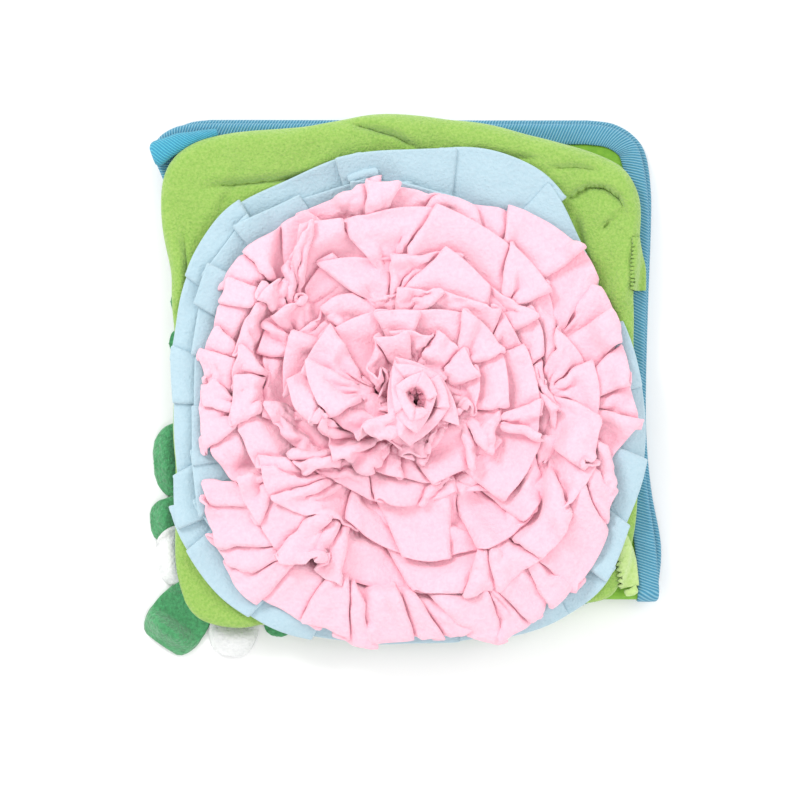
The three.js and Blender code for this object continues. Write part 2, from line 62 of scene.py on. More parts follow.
# rows of the base: y, left end, right end
LOWER_ROWS = [(163, -118, 112), (161, -131, 127), (154, -142, 139), (143, -146, 146), (122, -140, 149),
              (96, -132, 149), (40, -130, 147), (-20, -130, 146), (-60, -130, 149), (-95, -130, 155), (-121, -130, 153)]
UPPER_ROWS = [(-121, -130, 153), (-95, -130, 151), (-60, -130, 146), (-20, -130, 143), (40, -131, 145), (96, -133, 147),
              (122, -142, 146), (143, -150, 142), (152, -147, 136), (158, -137, 125), (160, -124, 110)]

# outlines round the flower: degrees, sky radius, lime radius
OUTLINE = [(0, 138, 131), (15, 134, 135), (30, 131, 150), (45, 138, 186), (60, 153, 177), (75, 154, 167),
           (90, 148, 164), (105, 150, 169), (120, 151, 185), (135, 161, 190), (150, 159, 159), (165, 148, 146),
           (180, 146, 143), (195, 150, 147), (210, 162, 158), (225, 167, 171), (240, 163, 146), (255, 152, 129),
           (270, 146, 123), (285, 149, 126), (300, 158, 140), (315, 161, 168), (330, 149, 152), (345, 143, 136)]

# lime outline, finer at its corners: degrees, radius
LIME_OUT = [(0, 131), (15, 135), (27, 146), (36, 166), (42, 182), (48, 188), (54, 183), (60, 177), (68, 172), (75, 171), (83, 169), (90, 170.5), (98, 173),
            (105, 173), (112, 176), (118, 183), (124, 193), (130, 203), (135, 206), (139, 201), (145, 185), (152, 164), (158, 157), (165, 148), (180, 144),
            (195, 148), (205, 157), (213, 171), (219, 182), (225, 186), (231, 176), (240, 152), (255, 129), (270, 123), (285, 126), (300, 140), (315, 168), (330, 152), (345, 136)]
# creases of the lime ruffle: places down the crease, depth, width, and how far the side toward the flower is let down
LIME_CREASES = [
    ([(-126, 123), (-90, 126), (-61, 129.2), (-30, 137)], 2.0, 2.4, 1.6),
    ([(-31.8, 161), (-21.6, 158), (-5.4, 153.6), (10, 145)], 2.4, 2.4, 1.4),
    ([(87.6, 133.8), (102, 135), (118, 133)], 1.3, 1.6, 0.8),
    ([(97, 114), (104, 120), (112, 123.5), (122, 122), (130, 116), (134, 110)], 2.2, 1.6, 2.8),
    ([(134, 110), (126, 103), (118, 97)], 1.8, 1.7, 1.0),
    ([(104, 106), (108, 88), (113, 70)], 2.6, 2.2, 0.5),
    ([(-134, 96), (-131, 70), (-133, 44)], 1.2, 2.0, 0.8),
    ([(118, 60), (124, 40), (131, 24)], 1.8, 2.0, 0.8),
    ([(40, 146), (60, 141), (84, 140)], 1.0, 2.2, 0.7),
    ([(-112, 108), (-104, 122), (-100, 138)], 0.9, 2.4, 0.2),
]

# pink pleats, a row each, from the outer turn in.
# degrees at the free edge, free radius, slant to the inner end, inner radius
PLEATS = [
    [(200.5, 133.8, 2.4, 120.5), (206.2, 135.8, 10.1, 121.4), (215, 141.3, 5.4, 120.5), (223.5, 147.3, 0.1, 121.8), (231.3, 154.5, 3.5, 119.7), (243.4, 147.6, -8.6, 119.7), (254.8, 144.2, -2.8, 126.2), (261.5, 145.6, -3.3, 126.3), (270.7, 139.2, -11.2, 115.9), (278, 141.8, -1.3, 128.1), (283.3, 143.1, -2.6, 128.3), (290.1, 153.4, 1.3, 139.3), (298.2, 147.1, -6.2, 129.5), (303.4, 145.1, -1.8, 114.7), (309.5, 146.2, -1.5, 121.8), (314.1, 139.6, 12.3, 124.6), (324.8, 136.5, 5.9, 120.3), (336.4, 129, 1.8, 113.1), (344.8, 119.4, 0.3, 107.4), (354.9, 134.9, 6.3, 114.6), (364.4, 126.4, -8.2, 106.4), (375.2, 125.6, -3, 107.4), (384.6, 126.7, -1.6, 107.5), (393.2, 127, -1.1, 107), (401.5, 131, -6.4, 110), (424, 127.5, -3.7, 110.4), (432.8, 117.5, -2.5, 103.2), (443.9, 118.3, -6.5, 101.5), (454.1, 125.1, 3.2, 113.7), (461.8, 132.4, 1.5, 114.7), (480.5, 127.5, 5, 110.6), (487.2, 128, 2.8, 111.2), (492.7, 134.6, 3.2, 115.4), (499.4, 133.6, 3.7, 114.8), (507.4, 130.3, 0, 114.7), (513.7, 127.2, 1.3, 110.6), (520.1, 123.2, 2.5, 110.1), (527.1, 129.2, 0.3, 116.2), (533.8, 122.5, -0.5, 113), (541.4, 123.6, -0.8, 112.2), (547.1, 121.5, 1.6, 111.1), (553.6, 127.8, 2.1, 115.3)],
    [(203.6, 119.8, 1.9, 103.1), (217.4, 124.6, -8.4, 107.7), (227.4, 130.4, -9.3, 106.8), (235.3, 121.2, -7, 105), (250.9, 119.4, -7.5, 93.9), (258.7, 116.3, -8.1, 81.4), (270.9, 115.2, -5.3, 78.2), (277.1, 120.9, 5.9, 98.5), (285.4, 124.5, 2.6, 107.2), (293.9, 126, 1.2, 106), (300, 126.1, 1.6, 104.2), (309, 125, -1.1, 102.6), (314, 126.9, 1, 101.8), (324.1, 117.7, -1.1, 99.8), (330.8, 120.3, 1, 98.8), (338.4, 114.2, 1.2, 96.6), (345.3, 108.6, -0.5, 91.4), (355.6, 108.9, -2.2, 93.6), (362.6, 103.9, -2.6, 90), (372.1, 108.6, -1.6, 92.1), (378.7, 112.1, -1.5, 97.4), (386.3, 97.7, -5.2, 83.6), (393.2, 104, 0.5, 86.5), (400.5, 105.5, 1.3, 89.5), (407.8, 97.3, -1.3, 82.8), (419.5, 106.9, -5.4, 87.9), (425.5, 98.3, 2.8, 85.1), (443.3, 112.4, 1, 89.9), (472.3, 116.8, 1.7, 97.2), (479.9, 125.4, -0.6, 108.1), (486.5, 111.3, 5.4, 100.1), (497.8, 114.3, 2.6, 99.6), (502.6, 118.6, 3.7, 100), (508.3, 116.4, 3.5, 100.2), (515.4, 115.5, 0.6, 98.5), (524.7, 113.8, -0.1, 97.6), (533.3, 113, 1.2, 97.5), (541.2, 111, -0.5, 95.8), (548.7, 111.1, -0.2, 95.7), (556.3, 115.6, 1.2, 96)],
    [(205.8, 102, 0.2, 84.8), (216.3, 106.4, 0.8, 89.5), (225, 97.6, -5, 82.2), (240.8, 86, -7.6, 75), (252.2, 82.6, -4.5, 68.1), (266.4, 94.2, 2.6, 70.8), (282.2, 99.4, -7.7, 69.2), (294.2, 103.3, 4.2, 80.9), (301.8, 104.1, 5.5, 78.1), (315, 101.8, 0, 80.6), (323.1, 99.8, 0.3, 78.5), (331.7, 98.8, 4.8, 78.5), (339.7, 96.6, 0.1, 79.9), (348.6, 91.2, -1.2, 74.9), (360, 90.6, -0.9, 75), (370.5, 92.1, -0.5, 74.2), (381, 83.6, -2, 67.8), (394.3, 87.2, 0.6, 71.2), (403.6, 87, 0.4, 68.9), (417.3, 79.9, -1.7, 64.9), (425.2, 80, 3.2, 66.7), (438.5, 92, 1.2, 74.7), (459.7, 89.5, 0.2, 72.4), (483.8, 104.8, 4.1, 82.1), (491.8, 104.3, 7.6, 88.6), (500.5, 100.2, 3.3, 84.8), (511.8, 100.2, -0.1, 84.6), (524.6, 98.6, -4.2, 82), (534.5, 97.5, 0.5, 80.5), (543.6, 95.8, 1.5, 79.3), (554.1, 96.4, 1.4, 79.9)],
    [(206, 84.8, 0.8, 67.2), (218.8, 86.6, 1, 68.2), (226.6, 76, -5.4, 60.8), (233, 66.8, -7.1, 51.8), (250.2, 65.7, -11.5, 53.1), (271.7, 64.4, 5.5, 48.4), (293.4, 63.9, 3.1, 47), (303, 73.6, 5.3, 55.1), (311.1, 82.7, 4, 62.1), (322.6, 83.7, 4.2, 64), (336.6, 78.5, 1.6, 62.6), (346.5, 77.1, -0.1, 61.6), (359.1, 76, -1.8, 59.1), (370.9, 74.4, 0.4, 57.2), (386.6, 72.8, 1.5, 57.2), (397.6, 80.5, -6, 63.1), (407.6, 78.5, -3.6, 62.9), (420.3, 76.2, 1.8, 56.7), (435.5, 69.9, -1.7, 56.5), (446.9, 67.5, -3.2, 52), (458.5, 68.6, 2.2, 54.2), (479.9, 74.7, 8.7, 58.5), (494.4, 81.3, 3.4, 64.4), (501.5, 88.3, 2.8, 67.6), (511.7, 84.6, 1.7, 67.8), (521.4, 82, 2.6, 66.1), (532.4, 78.7, 4.6, 63.2), (545.1, 78.3, -2.5, 61.1), (555.5, 77.9, -0.5, 60.2)],
    [(209.5, 64.3, -8, 46.6), (218.2, 64.7, -2.5, 45.1), (230.9, 55.8, -9.5, 38.3), (248.1, 52.5, -8.3, 35.9), (266.5, 49.3, -7.8, 33.7), (286.4, 53.2, 3.5, 37), (306.6, 55.3, 4.1, 39.6), (325.5, 58.2, -0.1, 40.1), (341.6, 56.9, 0.8, 39.7), (357, 58.3, 1.3, 42), (371.3, 59.2, 0, 42.9), (388.1, 60.2, -1.2, 43.4), (404.6, 61, -2.4, 44.1), (421.3, 58.8, -3, 43.8), (448.1, 53.4, 1.9, 38), (475.1, 58.9, 4.1, 43.1), (486.5, 63.6, 7.1, 47.7), (501.5, 66.7, 8.5, 41.8), (522.8, 68, -1, 50.7), (538, 65.3, -.5, 44), (554.5, 57.6, -9.7, 44.1)],
    [(205.6, 44, -4.7, 27.3), (231.2, 36.4, -6.2, 21.2), (256.4, 37.3, -4.4, 23.2), (282.4, 38.8, 1.6, 24.2), (306, 38.8, 2.8, 24.7), (332.2, 38.6, -0.6, 24.2), (358, 40, 1.3, 25.1), (381.1, 43.1, 0.8, 27.8), (406.1, 44.8, 1.2, 29.7), (430.9, 43.7, -3.6, 29.5), (459.5, 43.4, 8, 28.2), (484.7, 43.3, -2.7, 26.3), (514.2, 38.6, -7.2, 22.5), (540, 36, -5.3, 21.9)],
    [(212, 25, 4, 12.5), (262, 21, -6, 11.5), (318, 26, 8, 12), (372, 20, -5, 11), (428, 25, 6, 11.5), (486, 18.5, -6, 10.5), (540, 13, 0, 9)],
]
# places where the free edge of a pink turn rolls up. turn from the outside, from and to degrees, how far
CURLS = [(1, 300, 322, .6), (2, 428, 470, .8), (2, 348, 372, .5), (3, 440, 492, .9), (3, 262, 300, .7), (4, 410, 455, .8), (4, 300, 345, .7),
         (4, 500, 530, .9), (5, 250, 300, .9), (5, 380, 420, .8), (5, 470, 505, .7), (6, 230, 290, .6), (6, 380, 440, .8)]

# sky pleats: degrees at the rim, lap, side on top, slant to the sewn edge
SKY_FOLDS = [(4, 6, -1, -4), (20, 8, 1, 5), (41, 7, -1, -6), (58, 11, 1, 7), (81, 8, -1, -2), (107.7, 13, 1, 1), (132, 6, -1, 7),
             (151, 12, 1, 6), (168, 6, -1, 5), (180, 7, 1, 2), (198, 6, -1, -7), (208, 11, 1, 4), (214, 8, -1, -5), (232, 9, 1, 5),
             (246, 8, 1, 3), (262, 6, -1, -5), (280, 6, 1, -6), (291, 9, -1, 4), (305, 8, 1, 5), (317, 7, -1, -4),
             (329, 10, 1, 4), (345, 8, 1, 4)]
# its second row, nearer the flower: degrees, free radius, lap, side on top, slant
SKY_SECOND = [(64, 118, 5, 1, 2), (78, 124, 6, -1, -2), (94, 131, 6, 1, 2), (106, 136, 8, 1, 3), (120, 141, 6, -1, -2), (136, 150, 9, 1, 4), (147, 148, 6, -1, -3),
              (156, 144, 8, 1, 3), (168, 136, 6, 1, -2), (182, 133, 7, -1, 2), (196, 138, 7, 1, 3), (208, 146, 8, 1, -3), (220, 146, 6, -1, 0)]

# lime: height of its turned edge by direction, its section, and its soft cross folds
LIME_PUFF = [(0, 5), (45, 9.5), (90, 9), (130, 8.5), (165, 4), (210, 3.5), (270, 3.5), (315, 5)]
LIME_SECTION = [(0.0, 1.6, 0.0), (0.3, 2.6, 0.08), (0.6, 3.0, 0.45), (0.88, 3.0, 1.0), (1.0, 2.6, 0.5), (0.9, 1.5, 0.0), (0.72, 1.5, 0.0)]
LIME_FOLDS = [(22, 6, 3), (33, 4, 2), (52, 6, 3), (67, 5, 2), (84, 7, 3), (97, 4, 1.5), (112, 7, 2.5), (128, 5, 2), (142, 6, 2.5), (160, 4, 2), (312, 7, 2), (322, 4, 2)]

LEAVES = [
    ("leaf_left_a", 0, -112, 86, 176, 29, 22, 0.0, .4), ("leaf_left_b", 0, -112, 54, 180, 30, 24, 0.0, .4),
    ("leaf_left_c", 0, -112, 30, 183, 31, 22, 0.0, .4), ("leaf_side_a", 0, -114, -42, 184, 38, 48, 7.0, .5),
    ("leaf_side_b", 0, -116, -78, 184, 38, 30, 6.0, .6), ("petal_side", 1, -113, -98, 188, 37, 38, 10.0, .8),
    ("leaf_corner", 0, -124, -121, 235, 41, 36, 13.0, 1.1), ("petal_corner", 1, -98, -112, 260, 50, 30, 9.0, .8),
    ("leaf_corner_b", 0, -72, -110, 262, 40, 22, 2.0, .5), ("leaf_bottom", 0, 30, -112, 270, 41, 26, 2.0, .4),
    ("leaf_right", 0, 101, -108, 290, 24, 22, 1.0, .4)]


# ------------------------------------------------------------------ small helpers
def clamp(a):
    return np.clip(a, 0.0, 1.0)


def smooth(f):
    f = clamp(f)
    return f * f * (3 - 2 * f)


def lerp(a, b, f):
    return a + (b - a) * f


def look_up(table, at, col=1):
    xs = [r[0] for r in table]
    return np.interp(at, xs, [r[col] for r in table])


def round_look(table, deg, col=1):
    xs = [r[0] for r in table]
    ys = [r[col] for r in table]
    return np.interp(np.mod(deg, 360.0), xs + [xs[0] + 360], ys + [ys[0]])


def soft_round(table, col, width=7.0):
    """A closed table as a smooth curve, one value a degree."""
    d = np.arange(0, 360.0, 1.0)
    v = round_look(table, d, col)
    k = np.arange(-20, 21)
    w = np.exp(-(k / width) ** 2)
    w /= w.sum()
    return np.array([np.dot(w, v[(i + k) % 360]) for i in range(360)])


SKY_RIM, LIME_RIM = soft_round(OUTLINE, 1, 5.0), soft_round(LIME_OUT, 1, 2.6)


def ring_at(ring, deg):
    return np.interp(np.mod(deg, 360.0), np.arange(361.0), np.append(ring, ring[0]))


def polar(r, deg):
    a = np.radians(deg)
    return np.stack([FLOWER[0] + r * np.cos(a), FLOWER[1] + r * np.sin(a)], -1)


def hash_noise(i, seed):
    """Even spread of numbers from 0 to 1, the same on every run."""
    v = math.sin(i * 12.9898 + seed * 78.233) * 43758.5453
    return v - math.floor(v)


def lattice(seed, n=64):
    return np.random.default_rng(seed).uniform(-1, 1, (n, n))


def soft_noise(x, y, size, seed):
    """Smooth uneven height, from -1 to 1, with humps about `size` across."""
    g = lattice(seed)
    u, v = np.asarray(x) / size + 31.7, np.asarray(y) / size + 17.3
    iu, iv = np.floor(u).astype(int), np.floor(v).astype(int)
    fu, fv = smooth(u - iu), smooth(v - iv)
    a, b = g[iv % 64, iu % 64], g[iv % 64, (iu + 1) % 64]
    c, d = g[(iv + 1) % 64, iu % 64], g[(iv + 1) % 64, (iu + 1) % 64]
    return lerp(lerp(a, b, fu), lerp(c, d, fu), fv)


def lift_at(x, y):
    inside = np.minimum(np.minimum(x + 131, y + 126), np.minimum(143 - x, 157 - y))
    leafy = clamp(np.maximum(20 - x, 20 - y) / 110)
    return lerp(EDGE_LIFT, LEAF_LIFT, leafy) * (1 - smooth((inside - LIFT_FLAT) / LIFT_RAMP))


def over_base(x, y):
    return UPPER_Z + BASE_T / 2 + TAPE_GAP + TAPE_T + 0.5 + lift_at(x, y)


def creased(x, y, creases):
    """How far a set of creases lowers the cloth at x, y."""
    drop = np.zeros_like(x)
    for pts, depth, width, step in creases:
        pts = np.array(pts, float)
        best = np.full(x.shape, 1e9)
        side = np.zeros_like(x)
        fade = np.zeros_like(x)
        total = len(pts) - 1
        for k in range(total):
            a, b = pts[k], pts[k + 1]
            d = b - a
            L = float(d @ d)
            f = clamp(((x - a[0]) * d[0] + (y - a[1]) * d[1]) / L)
            px, py = a[0] + d[0] * f, a[1] + d[1] * f
            dist = np.hypot(x - px, y - py)
            near = dist < best
            best = np.where(near, dist, best)
            inward = np.hypot(x - FLOWER[0], y - FLOWER[1]) < np.hypot(px - FLOWER[0], py - FLOWER[1])
            side = np.where(near, np.where(inward, 1.0, -1.0), side)
            g = (k + f) / total
            fade = np.where(near, smooth(g / 0.2) * smooth((1 - g) / 0.2), fade)
        fade = 0.15 + 0.85 * fade
        drop += 1.6 * fade * (depth * np.exp(-(best / width) ** 2) + step * np.where(side > 0, np.exp(-best / 9.0), -0.35 * np.exp(-best / 6.0)))
    return drop


# ------------------------------------------------------------------ height of what is laid so far
GX0, GY0, GNX, GNY = -175.0, -185.0, 351, 371
TOP = np.zeros((GNY, GNX))
_gy, _gx = np.mgrid[0:GNY, 0:GNX]
TOP[:] = np.where((_gx + GX0 > -131) & (_gx + GX0 < 147) & (_gy + GY0 > -126) & (_gy + GY0 < 158),
                  over_base((_gx + GX0) * 1.0, (_gy + GY0) * 1.0), 0.0)


def finer(P, times=2):
    for _ in range(times):
        for ax in (0, 1):
            mid = (np.take(P, range(P.shape[ax] - 1), ax) + np.take(P, range(1, P.shape[ax]), ax)) / 2
            n = P.shape[ax] * 2 - 1
            shape = list(P.shape)
            shape[ax] = n
            out = np.empty(shape)
            if ax == 0:
                out[0::2], out[1::2] = P, mid
            else:
                out[:, 0::2], out[:, 1::2] = P, mid
            P = out
    return P


def lay(P, half):
    Q = finer(P).reshape(-1, 3)
    ix = np.clip(np.round(Q[:, 0] - GX0).astype(int), 0, GNX - 1)
    iy = np.clip(np.round(Q[:, 1] - GY0).astype(int), 0, GNY - 1)
    np.maximum.at(TOP, (iy, ix), Q[:, 2] + half)


def widened(h, reach):
    for ax in (0, 1):
        out = h.copy()
        for s in range(1, reach + 1):
            out = np.maximum(out, np.roll(h, s, ax))
            out = np.maximum(out, np.roll(h, -s, ax))
        h = out
    return h


def softened(h, reach):
    for _ in range(2):
        for ax in (0, 1):
            out = h.copy()
            for s in range(1, reach + 1):
                out = out + np.roll(h, s, ax) + np.roll(h, -s, ax)
            h = out / (2 * reach + 1)
    return h


def sample(h, x, y):
    u, v = np.clip(x - GX0, 0, GNX - 2), np.clip(y - GY0, 0, GNY - 2)
    iu, iv = np.floor(u).astype(int), np.floor(v).astype(int)
    fu, fv = u - iu, v - iv
    return lerp(lerp(h[iv, iu], h[iv, iu + 1], fu), lerp(h[iv + 1, iu], h[iv + 1, iu + 1], fu), fv)


def along(a, reach, mode, closed=False):
    """Running maximum or mean of a down its first axis."""
    n = len(a)
    idx = np.arange(n)
    parts = []
    for s in range(-reach, reach + 1):
        j = (idx + s) % n if closed else np.clip(idx + s, 0, n - 1)
        parts.append(a[j])
    st = np.stack(parts)
    if mode == "max":
        return st.max(0)
    w = np.exp(-((np.arange(-reach, reach + 1) / (reach * 0.6 + 1e-6)) ** 2))
    return np.tensordot(w / w.sum(), st, (0, 0))


# ------------------------------------------------------------------ sheets
def unit(v):
    return v / np.maximum(np.linalg.norm(v, axis=-1, keepdims=True), 1e-9)


def sheet_mesh(name, P, t, closed=False, nose=3, smooth_normals=1, rim=None):
    """A sheet of thickness t on a grid of middle points, its long free edge rounded, as one closed mesh."""
    nu, nv = P.shape[:2]
    if closed:
        du = np.roll(P, -1, 0) - np.roll(P, 1, 0)
    else:
        du = np.gradient(P, axis=0)
    dv = np.gradient(P, axis=1)
    n = unit(np.cross(dv, du))
    for _ in range(smooth_normals):
        m = n + 0.5 * ((np.roll(n, 1, 0) + np.roll(n, -1, 0)) if closed else (n[np.clip(np.arange(nu) - 1, 0, nu - 1)] + n[np.clip(np.arange(nu) + 1, 0, nu - 1)]))
        n = unit(m)
    h = t / 2
    top, bot = P + n * h, P - n * h
    w = unit(dv[:, -1] - n[:, -1] * (dv[:, -1] * n[:, -1]).sum(-1, keepdims=True))
    edge = []
    for k in range(1, nose + 1):
        a = math.pi * k / (nose + 1)
        edge.append(P[:, -1] + h * (math.cos(a) * n[:, -1] + math.sin(a) * w))
    w0 = unit(-dv[:, 0] + n[:, 0] * (dv[:, 0] * n[:, 0]).sum(-1, keepdims=True))
    back = P[:, 0] + h * w0
    loop = np.concatenate([top, np.stack(edge, 1), bot[:, ::-1], back[:, None]], 1)
    L = loop.shape[1]
    verts = loop.reshape(-1, 3)
    faces = []
    last = nu if closed else nu - 1
    i = np.arange(last)[:, None]
    j = np.arange(L)[None, :]
    a, b = i * L + j, i * L + (j + 1) % L
    c, d = ((i + 1) % nu) * L + (j + 1) % L, ((i + 1) % nu) * L + j
    quads = np.stack([a, b, c, d], -1).reshape(-1, 4)
    faces = quads.tolist()
    if not closed:
        # close the two cut ends with a strip of quads between top and bottom
        for i0, flip in ((0, 1), (nu - 1, 0)):
            ring = [i0 * L + k for k in range(L)]
            k = 0
            lo, hi = 0, L - 1
            strip = []
            while hi - lo > 2:
                strip.append([ring[lo], ring[lo + 1], ring[hi - 1], ring[hi]])
                lo, hi = lo + 1, hi - 1
            strip.append([ring[m] for m in range(lo, hi + 1)])
            for q in strip:
                faces.append(q[::-1] if not flip else q)
    return mesh_of(name, verts, faces)


def mesh_of(name, verts, faces, uv=None):
    v = (np.asarray(verts) + SHIFT) * 0.001
    me = bpy.data.meshes.new(name)
    me.from_pydata(v.tolist(), [], faces)
    me.validate()
    import_bm(me)
    me.polygons.foreach_set("use_smooth", [True] * len(me.polygons))
    ob = bpy.data.objects.new(name, me)
    bpy.context.scene.collection.objects.link(ob)
    return ob


def import_bm(me):
    import bmesh
    bm = bmesh.new()
    bm.from_mesh(me)
    bmesh.ops.recalc_face_normals(bm, faces=bm.faces)
    if bm.calc_volume(signed=True) < 0:
        bmesh.ops.reverse_faces(bm, faces=bm.faces)
    bm.to_mesh(me)
    bm.free()


# ------------------------------------------------------------------ base and tape
def dense_rows(rows, per=6):
    rows = np.array(rows, float)
    n = len(rows)
    out = []
    for k in range(n - 1):
        p0, p1, p2, p3 = rows[max(0, k - 1)], rows[k], rows[k + 1], rows[min(n - 1, k + 2)]
        for s in range(per):
            f = s / per
            out.append(0.5 * (2 * p1 + (p2 - p0) * f + (2 * p0 - 5 * p1 + 4 * p2 - p3) * f ** 2 + (3 * p1 - p0 - 3 * p2 + p3) * f ** 3))
    out.append(rows[-1])
    return out


def base_line():
    line = [(y, l, r, LOWER_Z, 0.0, -1.0) for y, l, r in dense_rows(LOWER_ROWS)][:-1]
    for k in range(17):
        a = k / 16 * math.pi
        ny, nz = -math.sin(a), -math.cos(a)
        line.append((FOLD_Y + ny * FOLD_R, -130.0, 153.0, LOWER_Z + FOLD_R + nz * FOLD_R, ny, nz))
    line += [(y, l, r, UPPER_Z, 0.0, 1.0) for y, l, r in dense_rows(UPPER_ROWS)][1:]
    return np.array(line)


LINE = base_line()


def make_base():
    cols = np.linspace(0, 1, 49)
    y, l, r, z, ny, nz = LINE.T
    X = l[:, None] + (r - l)[:, None] * cols[None, :]
    Y = np.repeat(y[:, None], len(cols), 1)
    Z = z[:, None] + lift_at(X, Y)
    P = np.stack([X, Y, Z], -1)
    N = np.stack([np.zeros_like(X), np.repeat(ny[:, None], len(cols), 1), np.repeat(nz[:, None], len(cols), 1)], -1)
    top, bot = P + N * BASE_T / 2, P - N * BASE_T / 2
    nu, nv = X.shape
    verts = np.concatenate([top.reshape(-1, 3), bot.reshape(-1, 3)])
    off = nu * nv
    faces = []
    for i in range(nu - 1):
        for j in range(nv - 1):
            a = i * nv + j
            faces.append([a, a + nv, a + nv + 1, a + 1])
            faces.append([off + a, off + a + 1, off + a + nv + 1, off + a + nv])
        a, b = i * nv, i * nv + nv - 1
        faces.append([a, off + a, off + a + nv, a + nv])
        faces.append([b, b + nv, off + b + nv, off + b])
    for j in range(nv - 1):
        faces.append([j, j + 1, off + j + 1, off + j])
        a = (nu - 1) * nv + j
        faces.append([a, off + a, off + a + 1, a + 1])
    return mesh_of("base_cloth", verts, faces)


def make_tape():
    n_end = 40
    pts, nor = [], []
    for y, l, r, z, ny, nz in LINE:
        pts.append((l, y, z)); nor.append((0, ny, nz))
    y, l, r, z, ny, nz = LINE[-1]
    for k in range(1, n_end):
        pts.append((l + (r - l) * k / n_end, y, z)); nor.append((0, ny, nz))
    for y, l, r, z, ny, nz in LINE[::-1]:
        pts.append((r, y, z)); nor.append((0, ny, nz))
    y, l, r, z, ny, nz = LINE[0]
    for k in range(1, n_end):
        pts.append((r + (l - r) * k / n_end, y, z)); nor.append((0, ny, nz))
    pts, nor = np.array(pts, float), np.array(nor, float)
    tan = unit(np.roll(pts, -1, 0) - np.roll(pts, 1, 0))
    for _ in range(3):
        tan = unit(tan + 0.5 * (np.roll(tan, 1, 0) + np.roll(tan, -1, 0)))
    out = unit(np.cross(nor, tan))
    centre = pts.mean(0)
    if ((pts - centre) * out).sum() < 0:
        out = -out
    mid = BASE_T / 2 + TAPE_GAP + TAPE_T / 2
    sec = [(-TAPE_IN, mid), (-TAPE_IN * .8, mid), (-TAPE_IN * .55, mid + .1), (-TAPE_IN * .3, mid + .1), (-2.4, mid)]
    for k in range(9):
        a = math.pi / 2 - math.pi * k / 8
        sec.append((TAPE_OUT - 1.6 + (mid) * math.cos(a), mid * math.sin(a)))
    sec += [(o, -nn) for o, nn in sec[:5][::-1]]
    P = np.zeros((len(pts), len(sec), 3))
    for j, (o, nn) in enumerate(sec):
        q = pts + out * o + nor * nn
        yy = pts[:, 1] + out[:, 1] * min(0.0, o)
        q[:, 2] += lift_at(q[:, 0], yy)
        P[:, j] = q
    # the binding isn't quite even along its length
    s = np.cumsum(np.linalg.norm(pts - np.roll(pts, 1, 0), axis=1))
    wav = soft_noise(s, s * 0, 23, 5) * 0.35
    P[:, :5] += (out * wav[:, None])[:, None]
    P[:, -5:] += (out * wav[::-1, None])[:, None]
    ob = sheet_mesh("tape_cloth", P, TAPE_T, closed=True, nose=3, smooth_normals=1)
    # ribs run across the tape: a map of length and width for the weave
    me = ob.data
    L = P.shape[1] * 2 + 3 + 1
    wid = np.cumsum([0] + [math.hypot(sec[k + 1][0] - sec[k][0], sec[k + 1][1] - sec[k][1]) for k in range(len(sec) - 1)])
    across = np.concatenate([wid, [wid[-1]] * 3, wid[::-1], [0.0]])
    uv = me.uv_layers.new(name="weave")
    idx = np.zeros(len(me.loops), int)
    me.loops.foreach_get("vertex_index", idx)
    total = s[-1]
    col = idx // L
    u = s[col]
    # keep the last strip of faces from running back to zero
    starts = np.zeros(len(me.polygons), int); me.polygons.foreach_get("loop_start", starts)
    totals = np.zeros(len(me.polygons), int); me.polygons.foreach_get("loop_total", totals)
    for st, tt in zip(starts, totals):
        c = col[st:st + tt]
        if c.max() - c.min() > 5:
            u[st:st + tt] = np.where(c < 5, u[st:st + tt] + total, u[st:st + tt])
    data = np.stack([u * 0.01, across[idx % L] * 0.01], -1)
    uv.data.foreach_set("uv", data.ravel())
    return ob, total, wid[-1]


# ------------------------------------------------------------------ lime ruffle
def make_lime():
    degs = np.arange(0, 360, 0.72)
    rim = ring_at(LIME_RIM, degs)
    puff = round_look(LIME_PUFF, degs, 1)
    drop = np.zeros_like(degs)
    for d, wide, deep in LIME_FOLDS:
        drop += deep * (1 - smooth(np.abs(((degs - d) % 360 + 540) % 360 - 180) / wide))
    puff = np.maximum(2.2, puff - drop)
    ctrl = []
    hem = np.minimum(60, 1.5 * (rim - LIME_IN))
    for o, up, ps in LIME_SECTION:
        r = rim - (1 - o) * hem if o > 0.6 else LIME_IN + (rim - LIME_IN) * o
        p = polar(r, degs)
        z = over_base(p[:, 0], p[:, 1]) + up + ps * puff
        ctrl.append(np.stack([r, z], -1))
    ctrl = np.array(ctrl)  # section points, columns, (r, z)
    n = len(ctrl)
    rows = []
    for k in range(n - 1):
        p0, p1, p2, p3 = ctrl[max(0, k - 1)], ctrl[k], ctrl[k + 1], ctrl[min(n - 1, k + 2)]
        per = (12, 18, 20, 10, 10, 8)[k]
        for s in range(per):
            f = s / per
            rows.append(0.5 * (2 * p1 + (p2 - p0) * f + (2 * p0 - 5 * p1 + 4 * p2 - p3) * f ** 2 + (3 * p1 - p0 - 3 * p2 + p3) * f ** 3))
    rows.append(ctrl[-1])
    rows = np.array(rows)
    r = rows[..., 0].T
    z = rows[..., 1].T
    xy = polar(r, degs[:, None])
    k = np.arange(r.shape[1])
    upper = smooth((62.5 - k) / 6)[None, :]
    x_, y_ = xy[..., 0], xy[..., 1]
    swell = 1.6 * soft_noise(x_, y_, 34, 11) + 0.7 * soft_noise(x_, y_, 15, 12) + 0.25 * soft_noise(x_, y_, 7, 13)
    z = z + upper * (swell - creased(x_, y_, LIME_CREASES))
    P = np.concatenate([xy, z[..., None]], -1)
    P[..., 2] = np.maximum(P[..., 2], over_base(P[..., 0], P[..., 1]) + 1.15)
    ob = sheet_mesh("lime_cloth", P, LIME_T, closed=True, nose=3, smooth_normals=2)
    lay(P[:, :61:2], LIME_T / 2)
    return ob


